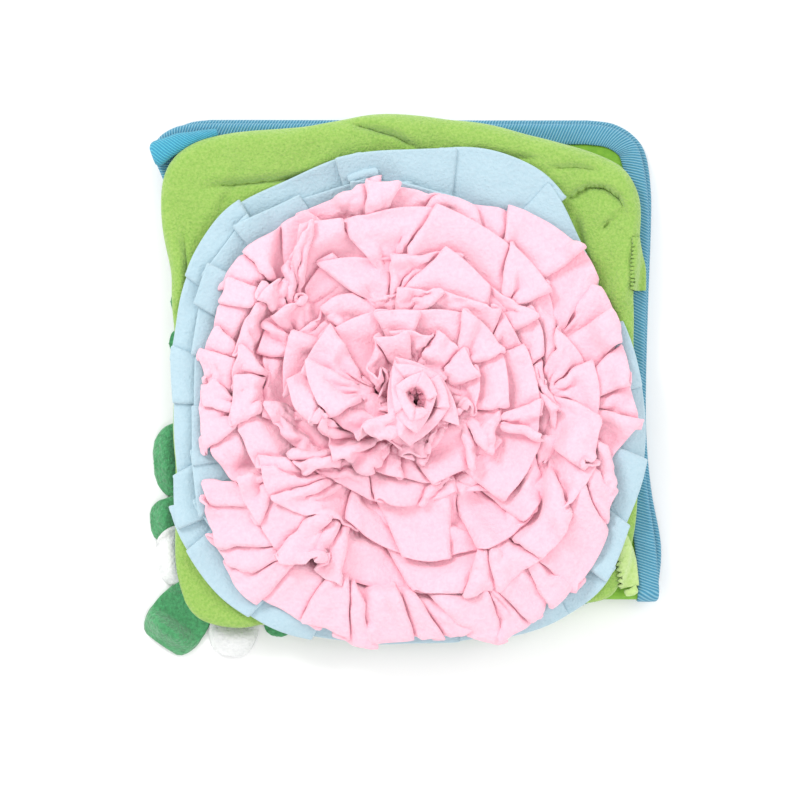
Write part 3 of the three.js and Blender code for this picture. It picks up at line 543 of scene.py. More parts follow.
# ------------------------------------------------------------------ pleated strips
def fold_columns(folds, face_step, closed, rim=None, bulge=0.03, seed=1):
    """Columns down a pleated strip. Each fold has E and K, its places at the free and the inner edge."""
    cols = []
    n = len(folds)

    def stack(f):
        if f["dir"] == 0:
            return []
        out = []
        for phi in (50, 90, 130):
            s, c = math.sin(math.radians(phi)), math.cos(math.radians(phi))
            out.append((f["E"] + f["tE"] * f["dir"] * f["riseE"] / 2 * s, f["K"] + f["tK"] * f["dir"] * f["riseK"] / 2 * s, 1.5 + .5 * c, 1.5 + .5 * c, 0.0, 0.0))
        for s in (0.15, 0.85):
            out.append((f["E"] - f["tE"] * f["dir"] * f["lapE"] * s - f["rE"] * 0.5, f["K"] - f["tK"] * f["dir"] * f["lapK"] * s, 1.0, 1.0, 0.0, 0.0))
        for phi in (50, 90, 130):
            s, c = math.sin(math.radians(phi)), math.cos(math.radians(phi))
            out.append((f["E"] - f["tE"] * f["dir"] * (f["lapE"] + f["riseE"] / 2 * s) - f["rE"] * 0.8, f["K"] - f["tK"] * f["dir"] * (f["lapK"] + f["riseK"] / 2 * s), .5 + .5 * c, .5 + .5 * c, 0.0, 0.0))
        rows = [(e, k, le * f["riseE"], lk * f["riseK"], 0.0, f) for e, k, le, lk, _, _ in out]
        return rows if f["dir"] > 0 else rows[::-1]

    def face(f, g, i):
        a = f["E"] if f["dir"] <= 0 else f["E"] - f["tE"] * f["lapE"] - f["rE"] * 0.8
        b = g["E"] if g["dir"] >= 0 else g["E"] + g["tE"] * g["lapE"] - g["rE"] * 0.8
        ak = f["K"] if f["dir"] <= 0 else f["K"] - f["tK"] * f["lapK"]
        bk = g["K"] if g["dir"] >= 0 else g["K"] + g["tK"] * g["lapK"]
        le, lk = np.linalg.norm(b - a), np.linalg.norm(bk - ak)
        m = max(5, int(round(le / face_step)))
        s = np.linspace(0, 1, m)
        if f["dir"] == 0:
            s = s[1:]

        def level(L0, L1, r0, r1, h0, h1, length):
            sa, sb = h0 / max(length, 1e-6), h1 / max(length, 1e-6)
            if sa + sb > 0.8:
                sa, sb = sa * 0.8 / (sa + sb), sb * 0.8 / (sa + sb)
            f_ = smooth((s - sa) / max(1e-6, 1 - sa - sb))
            return lerp(L0 * r0, L1 * r1, f_)
        L0 = {1: 0.0, -1: 2.0, 0: f["crest"]}[f["dir"]]
        L1 = {1: 2.0, -1: 0.0, 0: g["crest"]}[g["dir"]]
        lev_e = level(L0, L1, f["riseE"], g["riseE"], f["lapE"] * abs(f["dir"]), g["lapE"] * abs(g["dir"]), le)
        lev_k = level(L0, L1, f["riseK"], g["riseK"], f["lapK"] * abs(f["dir"]), g["lapK"] * abs(g["dir"]), lk)
        bul = bulge * le * (hash_noise(i, seed) * 1.7 - 0.5)
        if L0 == 2.0 and L1 == 2.0:
            bul = -abs(bul) * 0.6 - 0.6
        out = []
        for q in range(len(s)):
            E = a + (b - a) * s[q]
            if rim is not None:
                ang0 = math.degrees(math.atan2(a[1] - FLOWER[1], a[0] - FLOWER[0]))
                ang1 = math.degrees(math.atan2(b[1] - FLOWER[1], b[0] - FLOWER[0]))
                if ang1 < ang0 - 180:
                    ang1 += 360
                ra, rb = np.linalg.norm(a - FLOWER), np.linalg.norm(b - FLOWER)
                ang = lerp(ang0, ang1, s[q])
                over = lerp(ra - ring_at(rim, ang0), rb - ring_at(rim, ang1), s[q])
                E = polar(ring_at(rim, ang) + over, ang)
            out.append((E, ak + (bk - ak) * s[q], lev_e[q], lev_k[q], bul * math.sin(math.pi * s[q]), f))
        return out

    for i, f in enumerate(folds):
        cols += stack(f)
        if i < n - 1:
            cols += face(f, folds[i + 1], i)
        elif closed:
            cols += face(f, folds[0], i)
    return cols


def make_fold(degE, rE, degK, rK, lapE, lapK, d, rise_e, rise_k, crest=2.0, tier=0):
    E, K = polar(rE, degE), polar(rK, degK)
    ae, ak = math.radians(degE), math.radians(degK)
    return dict(E=E, K=K, tE=np.array([-math.sin(ae), math.cos(ae)]), tK=np.array([-math.sin(ak), math.cos(ak)]),
                rE=np.array([math.cos(ae), math.sin(ae)]), lapE=lapE, lapK=lapK, dir=d, riseE=rise_e, riseK=rise_k, crest=crest, tier=tier, deg=degE)


def lay_ring(folds, closed, rim, q, t, droop, seed, bulge=0.035):
    cols = fold_columns(folds, 2.6, closed, rim=rim, bulge=bulge, seed=seed)
    E = np.array([c[0] for c in cols]); K = np.array([c[1] for c in cols])
    le = np.array([c[2] for c in cols]); lk = np.array([c[3] for c in cols]); bu = np.array([c[4] for c in cols])
    XY = E[:, None] + (K - E)[:, None] * q[None, :, None]
    env = softened(widened(TOP, 2), 3)
    sup = sample(env, XY[..., 0], XY[..., 1])
    rr = np.linalg.norm(XY - FLOWER, axis=-1)
    hold = sup.copy()
    # past the edge of what it lies on, it carries on out and droops a little
    for j in range(len(q) - 2, -1, -1):
        hold[:, j] = np.maximum(sup[:, j], hold[:, j + 1] - droop * (rr[:, j] - rr[:, j + 1]))
    base = along(along(hold, 3, "max", closed), 5, "mean", closed)
    level = le[:, None] + (lk - le)[:, None] * q[None, :]
    Z = base + t / 2 + 0.4 + level + bu[:, None] * np.sin(np.pi * np.minimum(1, q + .25))[None, :]
    Z += 0.8 * soft_noise(XY[..., 0], XY[..., 1], 24, seed + 20) + 0.35 * soft_noise(XY[..., 0], XY[..., 1], 9, seed + 22)
    P = np.concatenate([XY, Z[..., None]], -1)[:, ::-1]
    lay(P, t / 2)
    return P


def joined(name, obs):
    """One object of several."""
    verts, faces, off = [], [], 0
    for o in obs:
        co = np.zeros(len(o.data.vertices) * 3)
        o.data.vertices.foreach_get("co", co)
        verts.append(co.reshape(-1, 3))
        faces += [[v + off for v in p.vertices] for p in o.data.polygons]
        off += len(o.data.vertices)
        m = o.data
        bpy.data.objects.remove(o)
        bpy.data.meshes.remove(m)
    me = bpy.data.meshes.new(name)
    me.from_pydata(np.concatenate(verts).tolist(), [], faces)
    me.polygons.foreach_set("use_smooth", [True] * len(me.polygons))
    ob = bpy.data.objects.new(name, me)
    bpy.context.scene.collection.objects.link(ob)
    return ob


def lighter(ob, most):
    """The same surface in no more than this many triangles, fewer where it is flat."""
    tris = sum(len(p.vertices) - 2 for p in ob.data.polygons)
    if tris <= most:
        return ob
    mod = ob.modifiers.new("lighter", "DECIMATE")
    mod.ratio = most / tris
    old = ob.data
    me = bpy.data.meshes.new_from_object(ob.evaluated_get(bpy.context.evaluated_depsgraph_get()))
    ob.modifiers.clear()
    ob.data = me
    bpy.data.meshes.remove(old)
    me.name = ob.name
    me.polygons.foreach_set("use_smooth", [True] * len(me.polygons))
    return ob


def make_sky():
    q = np.array([0, .02, .05, .1, .17, .26, .36, .48, .6, .72, .84, .93, 1.0])
    folds = []
    for i, (deg, lap, d, slant) in enumerate(SKY_FOLDS):
        rim = float(ring_at(SKY_RIM, deg))
        folds.append(make_fold(deg, rim + (hash_noise(i, 3) - .5) * 4, deg + slant, SKY_IN, lap, lap * .45, d, 1.7 + hash_noise(i, 4) * 1.0, 1.4, tier=0))
    P = lay_ring(folds, True, SKY_RIM, q, SKY_T, 0.42, 5)
    first = sheet_mesh("sky_a", P, SKY_T, closed=True, nose=3, smooth_normals=1)
    folds = []
    for i, (deg, r, lap, d, slant) in enumerate(SKY_SECOND):
        folds.append(make_fold(deg, r, deg + slant, 100.0, lap, lap * .45, d, 1.3 + hash_noise(i, 14) * .5, 1.1, tier=0))
    P = lay_ring(folds, False, None, q, SKY_T - .2, 0.3, 6, bulge=0.05)
    second = sheet_mesh("sky_b", P, SKY_T - .2, closed=False, nose=3, smooth_normals=1)
    return joined("sky_cloth", [first, second])


def turn_radius(tier, deg, col=1):
    rows = PLEATS[tier]
    xs = [r[0] for r in rows]
    ys = [r[col] for r in rows]
    d = (deg - xs[0]) % 360 + xs[0]
    return float(np.interp(d, xs + [xs[0] + 360], ys + [ys[0]]))


def pink_folds():
    out = []
    count = 0
    for tier, rows in enumerate(PLEATS):
        kept = [rows[0]]
        for r in rows[1:]:
            if math.radians(r[0] - kept[-1][0]) * r[1] >= CLOSEST[tier]:
                kept.append(r)
        rows = kept
        n = len(rows)
        gaps = [((rows[(i + 1) % n][0] - rows[i][0]) if i < n - 1 else rows[0][0] + 360 - rows[i][0]) for i in range(n)]
        rough = UNEVEN_R * (0.35 + 0.65 * min(1.0, tier / 3))
        rows = [(r[0], r[1] * SPREAD[tier] * (1 + rough * float(soft_noise(r[0], tier * 50.0, 23, 71))), r[2] + UNEVEN_SLANT * (0.5 + 0.5 * min(1.0, tier / 3)) * 2 * (hash_noise(count + i, 73) - .5), r[3]) for i, r in enumerate(rows)]
        degk = [r[0] + r[2] * 1.6 for r in rows]
        # folds run together at their roots by twos and threes, as gathers do
        i = 0
        while i < n - 1:
            m = 2 + int(hash_noise(count + i, 51) * 2.2)
            grp = range(i, min(n, i + m))
            mid = sum(degk[j] for j in grp) / len(grp)
            sway = (hash_noise(count + i, 53) - 0.5) * 0.5 * gaps[i]
            for j in grp:
                degk[j] = mid + (degk[j] - mid) * 0.28 + sway
            i += m
        rk = []
        for i, r in enumerate(rows):
            q = r[3] - min(9.0, 0.3 * r[3])
            if tier < len(PLEATS) - 1:
                q = min(q, min(turn_radius(tier + 1, degk[i] + e) for e in (-6, 0, 6)) - 10.0 * min(1, r[1] / 60))
            rk.append(max(3.2, q))
        dirs = [1 if hash_noise(count + i, 9) < 0.56 else -1 for i in range(n)]
        for _ in range(40):
            for i in range(n - 1):
                need = math.degrees(3.0 / rk[i])
                if degk[i + 1] - degk[i] < need:
                    m = (degk[i + 1] + degk[i]) / 2
                    degk[i], degk[i + 1] = m - need / 2, m + need / 2
        for i, (de, re, sl, rm) in enumerate(rows):
            arc = math.radians(min(gaps[i], gaps[i - 1])) * re
            arck = math.radians(min(abs(degk[(i + 1) % n] - degk[i]) if i < n - 1 else 10, abs(degk[i] - degk[i - 1]) if i else 10)) * rk[i]
            h2, h3 = hash_noise(count + i, 17), hash_noise(count + i, 23)
            lap = min(0.5 * arc, 4.0 + 6.0 * h2)
            lapk = min(0.4 * arck, 0.45 * lap)
            small = min(1.0, 0.45 + re / 60)
            out.append(make_fold(de, re, degk[i], rk[i], lap, max(0.5, lapk), dirs[i], (1.55 + 0.35 * h3) * small, 1.35 * small, tier=tier))
        count += n
    return out


def sim_columns(folds, step):
    """Columns for the settling: a square corner at each fold edge."""
    cols = []
    for i, f in enumerate(folds):
        d = f["dir"]
        under = [(f["E"], f["K"], 1.0), (f["E"] - f["tE"] * d * f["lapE"] - f["rE"] * .7, f["K"] - f["tK"] * d * f["lapK"], 1.0)]
        if d < 0:
            under = under[::-1]
        for e, k, lev in under:
            cols.append((e, k, lev * f["riseE"], lev * f["riseK"], 0.0, f, f["deg"]))
        if i == len(folds) - 1:
            break
        g = folds[i + 1]
        a = f["E"] if d < 0 else f["E"] - f["tE"] * f["lapE"] - f["rE"] * .7
        b = g["E"] if g["dir"] > 0 else g["E"] + g["tE"] * g["lapE"] - g["rE"] * .7
        ak = f["K"] if d < 0 else f["K"] - f["tK"] * f["lapK"]
        bk = g["K"] if g["dir"] > 0 else g["K"] + g["tK"] * g["lapK"]
        L0, L1 = (0.0 if d > 0 else 2.0), (2.0 if g["dir"] > 0 else 0.0)
        le, lk = np.linalg.norm(b - a), np.linalg.norm(bk - ak)
        m = max(3, int(round(le / step)) + 1)
        s = np.linspace(0, 1, m)

        def level(r0, r1, h0, h1, length):
            sa, sb = h0 / max(length, 1e-6), h1 / max(length, 1e-6)
            if sa + sb > 0.7:
                sa, sb = sa * 0.7 / (sa + sb), sb * 0.7 / (sa + sb)
            return lerp(L0 * r0, L1 * r1, smooth((s - sa) / max(1e-6, 1 - sa - sb)))
        lev_e, lev_k = level(f["riseE"], g["riseE"], f["lapE"], g["lapE"], le), level(f["riseK"], g["riseK"], f["lapK"], g["lapK"], lk)
        bul = min(5.0, FULLNESS * le) * (0.25 + 0.75 * hash_noise(i, 31))
        if L0 == 2.0 and L1 == 2.0:
            bul *= 0.2
        gull = (hash_noise(i, 37) - 0.35) * min(4.0, 0.14 * le)      # the free edge bows out or in
        for q in range(m):
            w = math.sin(math.pi * s[q])
            E = a + (b - a) * s[q] + unit(a + b - 2 * FLOWER) * gull * w
            cols.append((E, ak + (bk - ak) * s[q], lev_e[q], lev_k[q], bul * w, f, lerp(f["deg"], g["deg"], s[q])))
    return cols


def settle(P, pins, frames, thick, film_z=None, bend=5.0, low=None, quiet=None):
    """Lets a strip fall and settle on what lies under it. P in mm, pins 0 to 1 for each point. Worked at ten times the size."""
    k = 0.01
    nu, nv = P.shape[:2]
    me = bpy.data.meshes.new("settling")
    idx = np.arange(nu * nv).reshape(nu, nv)
    faces = np.stack([idx[:-1, :-1], idx[1:, :-1], idx[1:, 1:], idx[:-1, 1:]], -1).reshape(-1, 4)
    me.from_pydata((P.reshape(-1, 3) * k).tolist(), [], faces.tolist())
    ob = bpy.data.objects.new("settling", me)
    bpy.context.scene.collection.objects.link(ob)
    calm = ob.vertex_groups.new(name="calm")
    calm.add([int(v) for v in np.nonzero(quiet.reshape(-1))[0]], 1.0, "REPLACE")
    vg = ob.vertex_groups.new(name="pin")
    flat = pins.reshape(-1)
    for v in range(nu * nv):
        if flat[v] > 0:
            vg.add([v], float(flat[v]), "REPLACE")
    step = 4
    ys, xs = np.mgrid[0:GNY:step, 0:GNX:step]
    hh = widened(UNDER, 1)[0:GNY:step, 0:GNX:step]
    gv = np.stack([(xs + GX0) * k, (ys + GY0) * k, hh * k], -1).reshape(-1, 3)
    gi = np.arange(gv.shape[0]).reshape(hh.shape)
    gf = np.stack([gi[:-1, :-1], gi[:-1, 1:], gi[1:, 1:], gi[1:, :-1]], -1).reshape(-1, 4)
    gm = bpy.data.meshes.new("ground")
    gm.from_pydata(gv.tolist(), [], gf.tolist())
    ground = bpy.data.objects.new("ground", gm)
    bpy.context.scene.collection.objects.link(ground)
    col = ground.modifiers.new("c", "COLLISION")
    ground.collision.thickness_outer = 0.008
    ground.collision.cloth_friction = 8
    cl = ob.modifiers.new("cloth", "CLOTH")
    st = cl.settings
    st.quality = 5
    st.mass = 0.25
    st.tension_stiffness = st.compression_stiffness = 22
    st.shear_stiffness = 12
    st.bending_model = "ANGULAR"
    st.bending_stiffness = bend
    st.tension_damping = st.compression_damping = st.shear_damping = 12
    st.bending_damping = 1.5
    st.air_damping = 3
    if low is not None:
        # the sewn rows start high, so that nothing touches, and come down as it settles
        ob.shape_key_add(name="as laid")
        key = ob.shape_key_add(name="down")
        key.data.foreach_set("co", (low.reshape(-1, 3) * k).ravel())
        key.value = 0.0
        key.keyframe_insert("value", frame=2)
        key.value = 1.0
        key.keyframe_insert("value", frame=frames - 6)
    st.vertex_group_mass = "pin"
    st.pin_stiffness = 4
    cs = cl.collision_settings
    cs.collision_quality = 3
    cs.distance_min = 0.006
    cs.use_self_collision = True
    cs.self_distance_min = thick * k
    cs.self_friction = 8
    cs.vertex_group_self_collisions = "calm"
    sc = bpy.context.scene
    sc.frame_start, sc.frame_end = 1, frames
    cl.point_cache.frame_start, cl.point_cache.frame_end = 1, frames
    film = None
    if film_z is not None:
        # the clear film over it in its pack presses it down from above, then is gone
        n = 25
        r = np.linspace(0, 1.75, n)
        ring = np.linspace(0, 2 * math.pi, 49)[:-1]
        v = [((FLOWER[0] * k + q * math.cos(a)), (FLOWER[1] * k + q * math.sin(a)), -FILM_DROOP * (q / k / 100) ** 2 * k) for q in r for a in ring]
        fc = [[i * 48 + j, (i + 1) * 48 + j, (i + 1) * 48 + (j + 1) % 48, i * 48 + (j + 1) % 48] for i in range(n - 1) for j in range(48)]
        fm_ = bpy.data.meshes.new("press")
        fm_.from_pydata(v, [], fc)
        film = bpy.data.objects.new("press", fm_)
        bpy.context.scene.collection.objects.link(film)
        film.modifiers.new("c", "COLLISION")
        film.collision.thickness_outer = film.collision.thickness_inner = 0.008
        film.collision.cloth_friction = 2
        top = float(P[..., 2].max())
        for fr, z in ((1, top + 6), (PRESS_FROM, top + 3), (frames - 3, film_z), (frames, film_z)):
            film.location.z = z * k
            film.keyframe_insert("location", index=2, frame=fr)
        for fcu in film.animation_data.action.fcurves:
            for kp in fcu.keyframe_points:
                kp.interpolation = "LINEAR"
    # the cloth is stirred a little before it is pressed, so its folds fall unevenly
    stir = None
    if STIR > 0 and film_z is not None:
        stir = bpy.data.objects.new("stir", None)
        bpy.context.scene.collection.objects.link(stir)
        with bpy.context.temp_override(object=stir, active_object=stir):
            bpy.ops.object.forcefield_toggle() if stir.field is None or stir.field.type == "NONE" else None
        stir.field.type = "TURBULENCE"
        stir.field.size = STIR_SIZE
        stir.field.flow = 0.0
        stir.field.noise = 0.0
        stir.field.seed = 4
        for fr, v in ((1, STIR), (PRESS_FROM + 2, STIR), (PRESS_FROM + 8, 0.0)):
            stir.field.strength = v
            stir.field.keyframe_insert("strength", frame=fr)
    for f in range(1, frames + 1):
        sc.frame_set(f)
    ev = ob.evaluated_get(bpy.context.evaluated_depsgraph_get())
    co = np.zeros(nu * nv * 3)
    ev.data.vertices.foreach_get("co", co)
    sc.frame_set(1)
    for o in [x for x in (ob, ground, film, stir) if x is not None]:
        m = o.data
        bpy.data.objects.remove(o)
        if m is not None:
            bpy.data.meshes.remove(m)
    return co.reshape(nu, nv, 3) / k


def refine(P, times=(2, 2)):
    """Puts points between those of a grid, on smooth curves through them."""
    for ax, t in enumerate(times):
        for _ in range(t - 1):
            n = P.shape[ax]
            g = lambda o: np.take(P, np.clip(np.arange(n - 1) + o, 0, n - 1), ax)
            mid = (9 * (g(0) + g(1)) - g(-1) - g(2)) / 16
            shape = list(P.shape)
            shape[ax] = 2 * n - 1
            out = np.empty(shape)
            if ax == 0:
                out[0::2], out[1::2] = P, mid
            else:
                out[:, 0::2], out[:, 1::2] = P, mid
            P = out
    return P


def make_pink():
    folds = pink_folds()
    cols = sim_columns(folds, 4.6)
    E = np.array([c[0] for c in cols]); K = np.array([c[1] for c in cols])
    le = np.array([c[2] for c in cols]); lk = np.array([c[3] for c in cols]); bu = np.array([c[4] for c in cols])
    tier = np.array([c[5]["tier"] for c in cols])
    deg = np.array([c[6] for c in cols])
    length = np.linalg.norm(K - E, axis=1)
    frac = np.array([0, .1, .2, .31, .43, .56, .70, .85, 1.0])
    Q = np.repeat(frac[None, :], len(cols), 0)
    XY = E[:, None] + (K - E)[:, None] * Q[..., None]
    Z = np.zeros(Q.shape)
    for t in range(len(PLEATS)):
        m = np.where(tier == t)[0]
        env = softened(widened(TOP, 2), 1)
        sup = sample(env, XY[m, :, 0], XY[m, :, 1])
        outer = Q[m] < 0.5
        free = np.where(outer, sup, -1).max(1)
        low = np.where(outer, sup, 0).sum(1) / outer.sum(1)
        free = 0.4 * free + 0.6 * low
        free = along(free, 7, "mean")
        ends = smooth((np.arange(len(m)) - (len(m) - 20)) / 18.0)
        free = free + (ends * 3.8 if t < 6 else 0)
        line = free[:, None] - 0.05 * np.maximum(0, Q[m] - .3) * length[m][:, None]
        base = np.maximum(line, sup)
        base = along(base, 1, "mean")
        lev = le[m][:, None] + (lk[m] - le[m])[:, None] * Q[m]
        z = base + PINK_T / 2 + 0.25 + lev + bu[m][:, None] * np.sin(np.pi * np.clip(Q[m] + .35, 0, 1))
        Z[m] = z
        lay(np.concatenate([XY[m], z[..., None]], -1), PINK_T / 2)
    P = np.concatenate([XY, Z[..., None]], -1)
    print("pink grid", P.shape, "top", P[..., 2].max(), flush=True)
    pins = np.zeros(Q.shape)
    pins[:] = HOLD_MID
    pins[:, 0] = HOLD_FREE
    pins[:, 1] = HOLD_FREE
    pins[tier == 0, :3] = HOLD_RIM
    pins[:, -1] = 1.0
    pins[:, -2] = 0.45
    import time
    t0 = time.time()
    quiet = np.zeros(Q.shape, bool)
    quiet[:, -3:] = True
    quiet[tier == 6, 3:] = True
    quiet[tier == 5, 5:] = True
    down = P.copy()
    z0, top = 27.0, P[:, 4:, 2].max()
    down[..., 2] = np.where(P[..., 2] > z0, z0 + (P[..., 2] - z0) * (CROWN_Z - z0) / (top - z0), P[..., 2])
    P = settle(P, pins, SETTLE_FRAMES, 1.5, film_z=FILM_Z, bend=BEND, low=down, quiet=quiet)
    print("settled in", time.time() - t0, "top", P[..., 2].max(), flush=True)
    # down to the sewn line
    Kp = P[:, -1]
    rootdir = unit(Kp[:, :2] - FLOWER)
    r_k = np.linalg.norm(Kp[:, :2] - FLOWER, axis=1)
    drops = []
    for step, part in ((1.5, .12), (2.0, 1.0)):
        xy = Kp[:, :2] - rootdir * np.minimum(step, r_k * .3)[:, None]
        z = lerp(Kp[:, 2], PINK_ROOT_Z + 0.6, part)
        drops.append(np.concatenate([xy, z[:, None]], -1))
    fine = refine(P, (2, 2))
    n = fine.shape[0]
    x, y = fine[..., 0], fine[..., 1]
    fine[..., 2] += 0.22 * soft_noise(x, y, 12, 41) + 0.12 * soft_noise(x, y, 6, 42)
    D = refine(np.stack(drops, 1), (2, 1))
    full = np.concatenate([fine, D], 1)[:, ::-1]
    ob = sheet_mesh("pink_a", full, PINK_T, closed=False, nose=2, smooth_normals=1)
    # the gathered foot of the strip closes the middle lower down
    r = np.linspace(0.5, 36, 10)
    a = np.radians(np.arange(0, 360, 12))
    foot = np.stack([FLOWER[0] + r[None, :] * np.cos(a)[:, None], FLOWER[1] + r[None, :] * np.sin(a)[:, None],
                     29.0 - 0.10 * r[None, :] + 1.2 * np.sin(a * 7)[:, None] * (r / 36)[None, :]], -1)
    return lighter(joined("pink_cloth", [ob, rolled_end(P), sheet_mesh("pink_c", foot, PINK_T, closed=True, nose=2, smooth_normals=1)]), 190000)


def rolled_end(P):
    """The last of the strip, wound up in the middle of the flower, each turn pressed over the one before. P is the settled cloth."""
    TOP[:] = UNDER
    lay(P, PINK_T / 2)
    up = np.array([0, .14, .28, .42, .56, .7, .84, .94, 1.0])
    e1, e2 = np.array([0.56, -0.83]), np.array([0.83, 0.56])      # along and across the slot in the middle
    gaps = np.array([84, 52, 97, 61, 88, 70, 49, 102, 66, 90, 58, 99, 74, 96], float)    # degrees from fold to fold
    corner = np.radians(25 + np.concatenate([[0], np.cumsum(gaps)]))
    w = (corner - corner[0]) / (corner[-1] - corner[0])
    ra, rb = lerp(16.0, 6.5, w), lerp(13.5, 1.0, w)
    reach = lerp(12.5, 7.0, w) * (1 + np.array([.1, -.3, .25, -.1, .3, -.25, .05, .35, -.2, .2, -.1, .3, -.15, .2, -.3]))
    lean = np.array([.2, -.4, .3, .5, -.2, .1, -.5, .35, .1, -.35, .4, 0, -.3, .3, 0])
    mid = FLOWER + np.stack([2.2 * np.sin(w * 5), -1.8 * np.cos(w * 4)], -1) * (1 - w)[:, None]
    root = mid + (ra * np.cos(corner))[:, None] * e1 + (rb * np.sin(corner))[:, None] * e2
    free = root + unit(np.cos(corner + lean)[:, None] * e1 + np.sin(corner + lean)[:, None] * e2) * reach[:, None]
    cut = np.array([0, .04, .12, .22, .34, .46, .58, .70, .81, .90, .97])
    A, B, lift, turn_no = [], [], [], []
    for k in range(len(gaps)):
        bow = np.sin(np.pi * cut)[:, None]
        arc = lerp(root[k], root[k + 1], 0.5) - mid[k]
        A.append(root[k] + (root[k + 1] - root[k]) * cut[:, None] + arc / max(4.0, np.linalg.norm(arc)) * bow * (0.16 * np.linalg.norm(root[k + 1] - root[k])))
        B.append(free[k] + (free[k + 1] - free[k]) * cut[:, None] + unit(arc) * bow * (0.07 * np.linalg.norm(free[k + 1] - free[k])))
        lift.append(2.1 * smooth((cut - .05) / .95) ** .8)
        turn_no += [int((corner[k] - corner[0]) // (2 * math.pi))] * len(cut)
    A, B, lift, turn_no = np.concatenate(A), np.concatenate(B), np.concatenate(lift), np.array(turn_no)
    XY = A[:, None] + (B - A)[:, None] * up[None, :, None]
    Z = np.zeros(XY.shape[:2])
    for t in range(turn_no.max() + 1):
        m = np.where(turn_no == t)[0]
        env = softened(widened(TOP, 2), 2)
        sup = sample(env, XY[m, :, 0], XY[m, :, 1])
        z = along(0.6 * sup[:, 3:].max(1) + 0.4 * sup[:, 3:].mean(1), 6, "mean")[:, None] + 0.6 * (1 - up)[None, :]
        z = np.minimum(np.maximum(z, along(sup, 3, "mean")), FILM_Z - 1.0 + 1.6 * t) + PINK_T / 2 + 0.3
        z = z + lift[m][:, None] * (0.35 + 0.65 * up)[None, :] + 0.9 * np.sin(np.pi * np.clip(up, 0.1, 1))[None, :]
        sink = (13.0 if t == turn_no.max() else 5.0) * (1 - smooth(up / 0.30))
        Z[m] = z - sink[None, :]
        lay(np.concatenate([XY[m], Z[m][..., None]], -1), PINK_T / 2)
    G = refine(np.concatenate([XY, Z[..., None]], -1), (3, 2))
    return sheet_mesh("pink_b", G, PINK_T, closed=False, nose=3, smooth_normals=1)


# ------------------------------------------------------------------ leaves and petals
def make_leaf(row, k):
    name, white, x0, y0, deg, long, wide, crown, tip = row
    a = math.radians(deg)
    dx, dy = math.cos(a), math.sin(a)
    f = np.linspace(0, 1, 30)
    half = (wide / 2) * np.where(f < 0.55, lerp(0.62, 1, np.sin(np.minimum(f / 0.55, 1) * math.pi / 2)),
                                 lerp(tip * .55, 1, np.sqrt(np.maximum(0, 1 - (np.maximum(f - 0.55, 0) / 0.45) ** 2))))
    stand = smooth((f - 0.57) / 0.2) * (1 - 0.75 * smooth((f - 0.77) / 0.23)) * crown
    c = np.linspace(-1, 1, 22)
    F, C = np.meshgrid(f, c, indexing="ij")
    H, S = half[:, None] * np.ones_like(C), stand[:, None] * np.ones_like(C)
    X = x0 + dx * F * long - dy * C * H
    Y = y0 + dy * F * long + dx * C * H
    Z = S * (1 - C * C) + LEAF_T / 2 + 0.05
    if crown > 5:
        Z += S * 0.16 * (soft_noise(X, Y, 9, 60 + k)) - S * .22 * np.exp(-(C / .16) ** 2) * (name in ("leaf_corner", "leaf_side_a"))
    Z = np.maximum(Z, LEAF_T / 2)
    under = sample(softened(widened(TOP, 1), 2), X, Y)      # a leaf that laps another lies on it
    Z = np.where(under > 0.4, np.maximum(Z, np.minimum(under, 3.2 + 9 * smooth(F * 3 - .9)) + LEAF_T / 2 + 0.2), Z)
    P = np.stack([X, Y, Z], -1)
    lay(P, LEAF_T / 2)
    ob = sheet_mesh(name + "_cloth", np.transpose(P, (1, 0, 2)), LEAF_T, closed=False, nose=3, smooth_normals=1)
    return ob, name, bool(white), long, wide


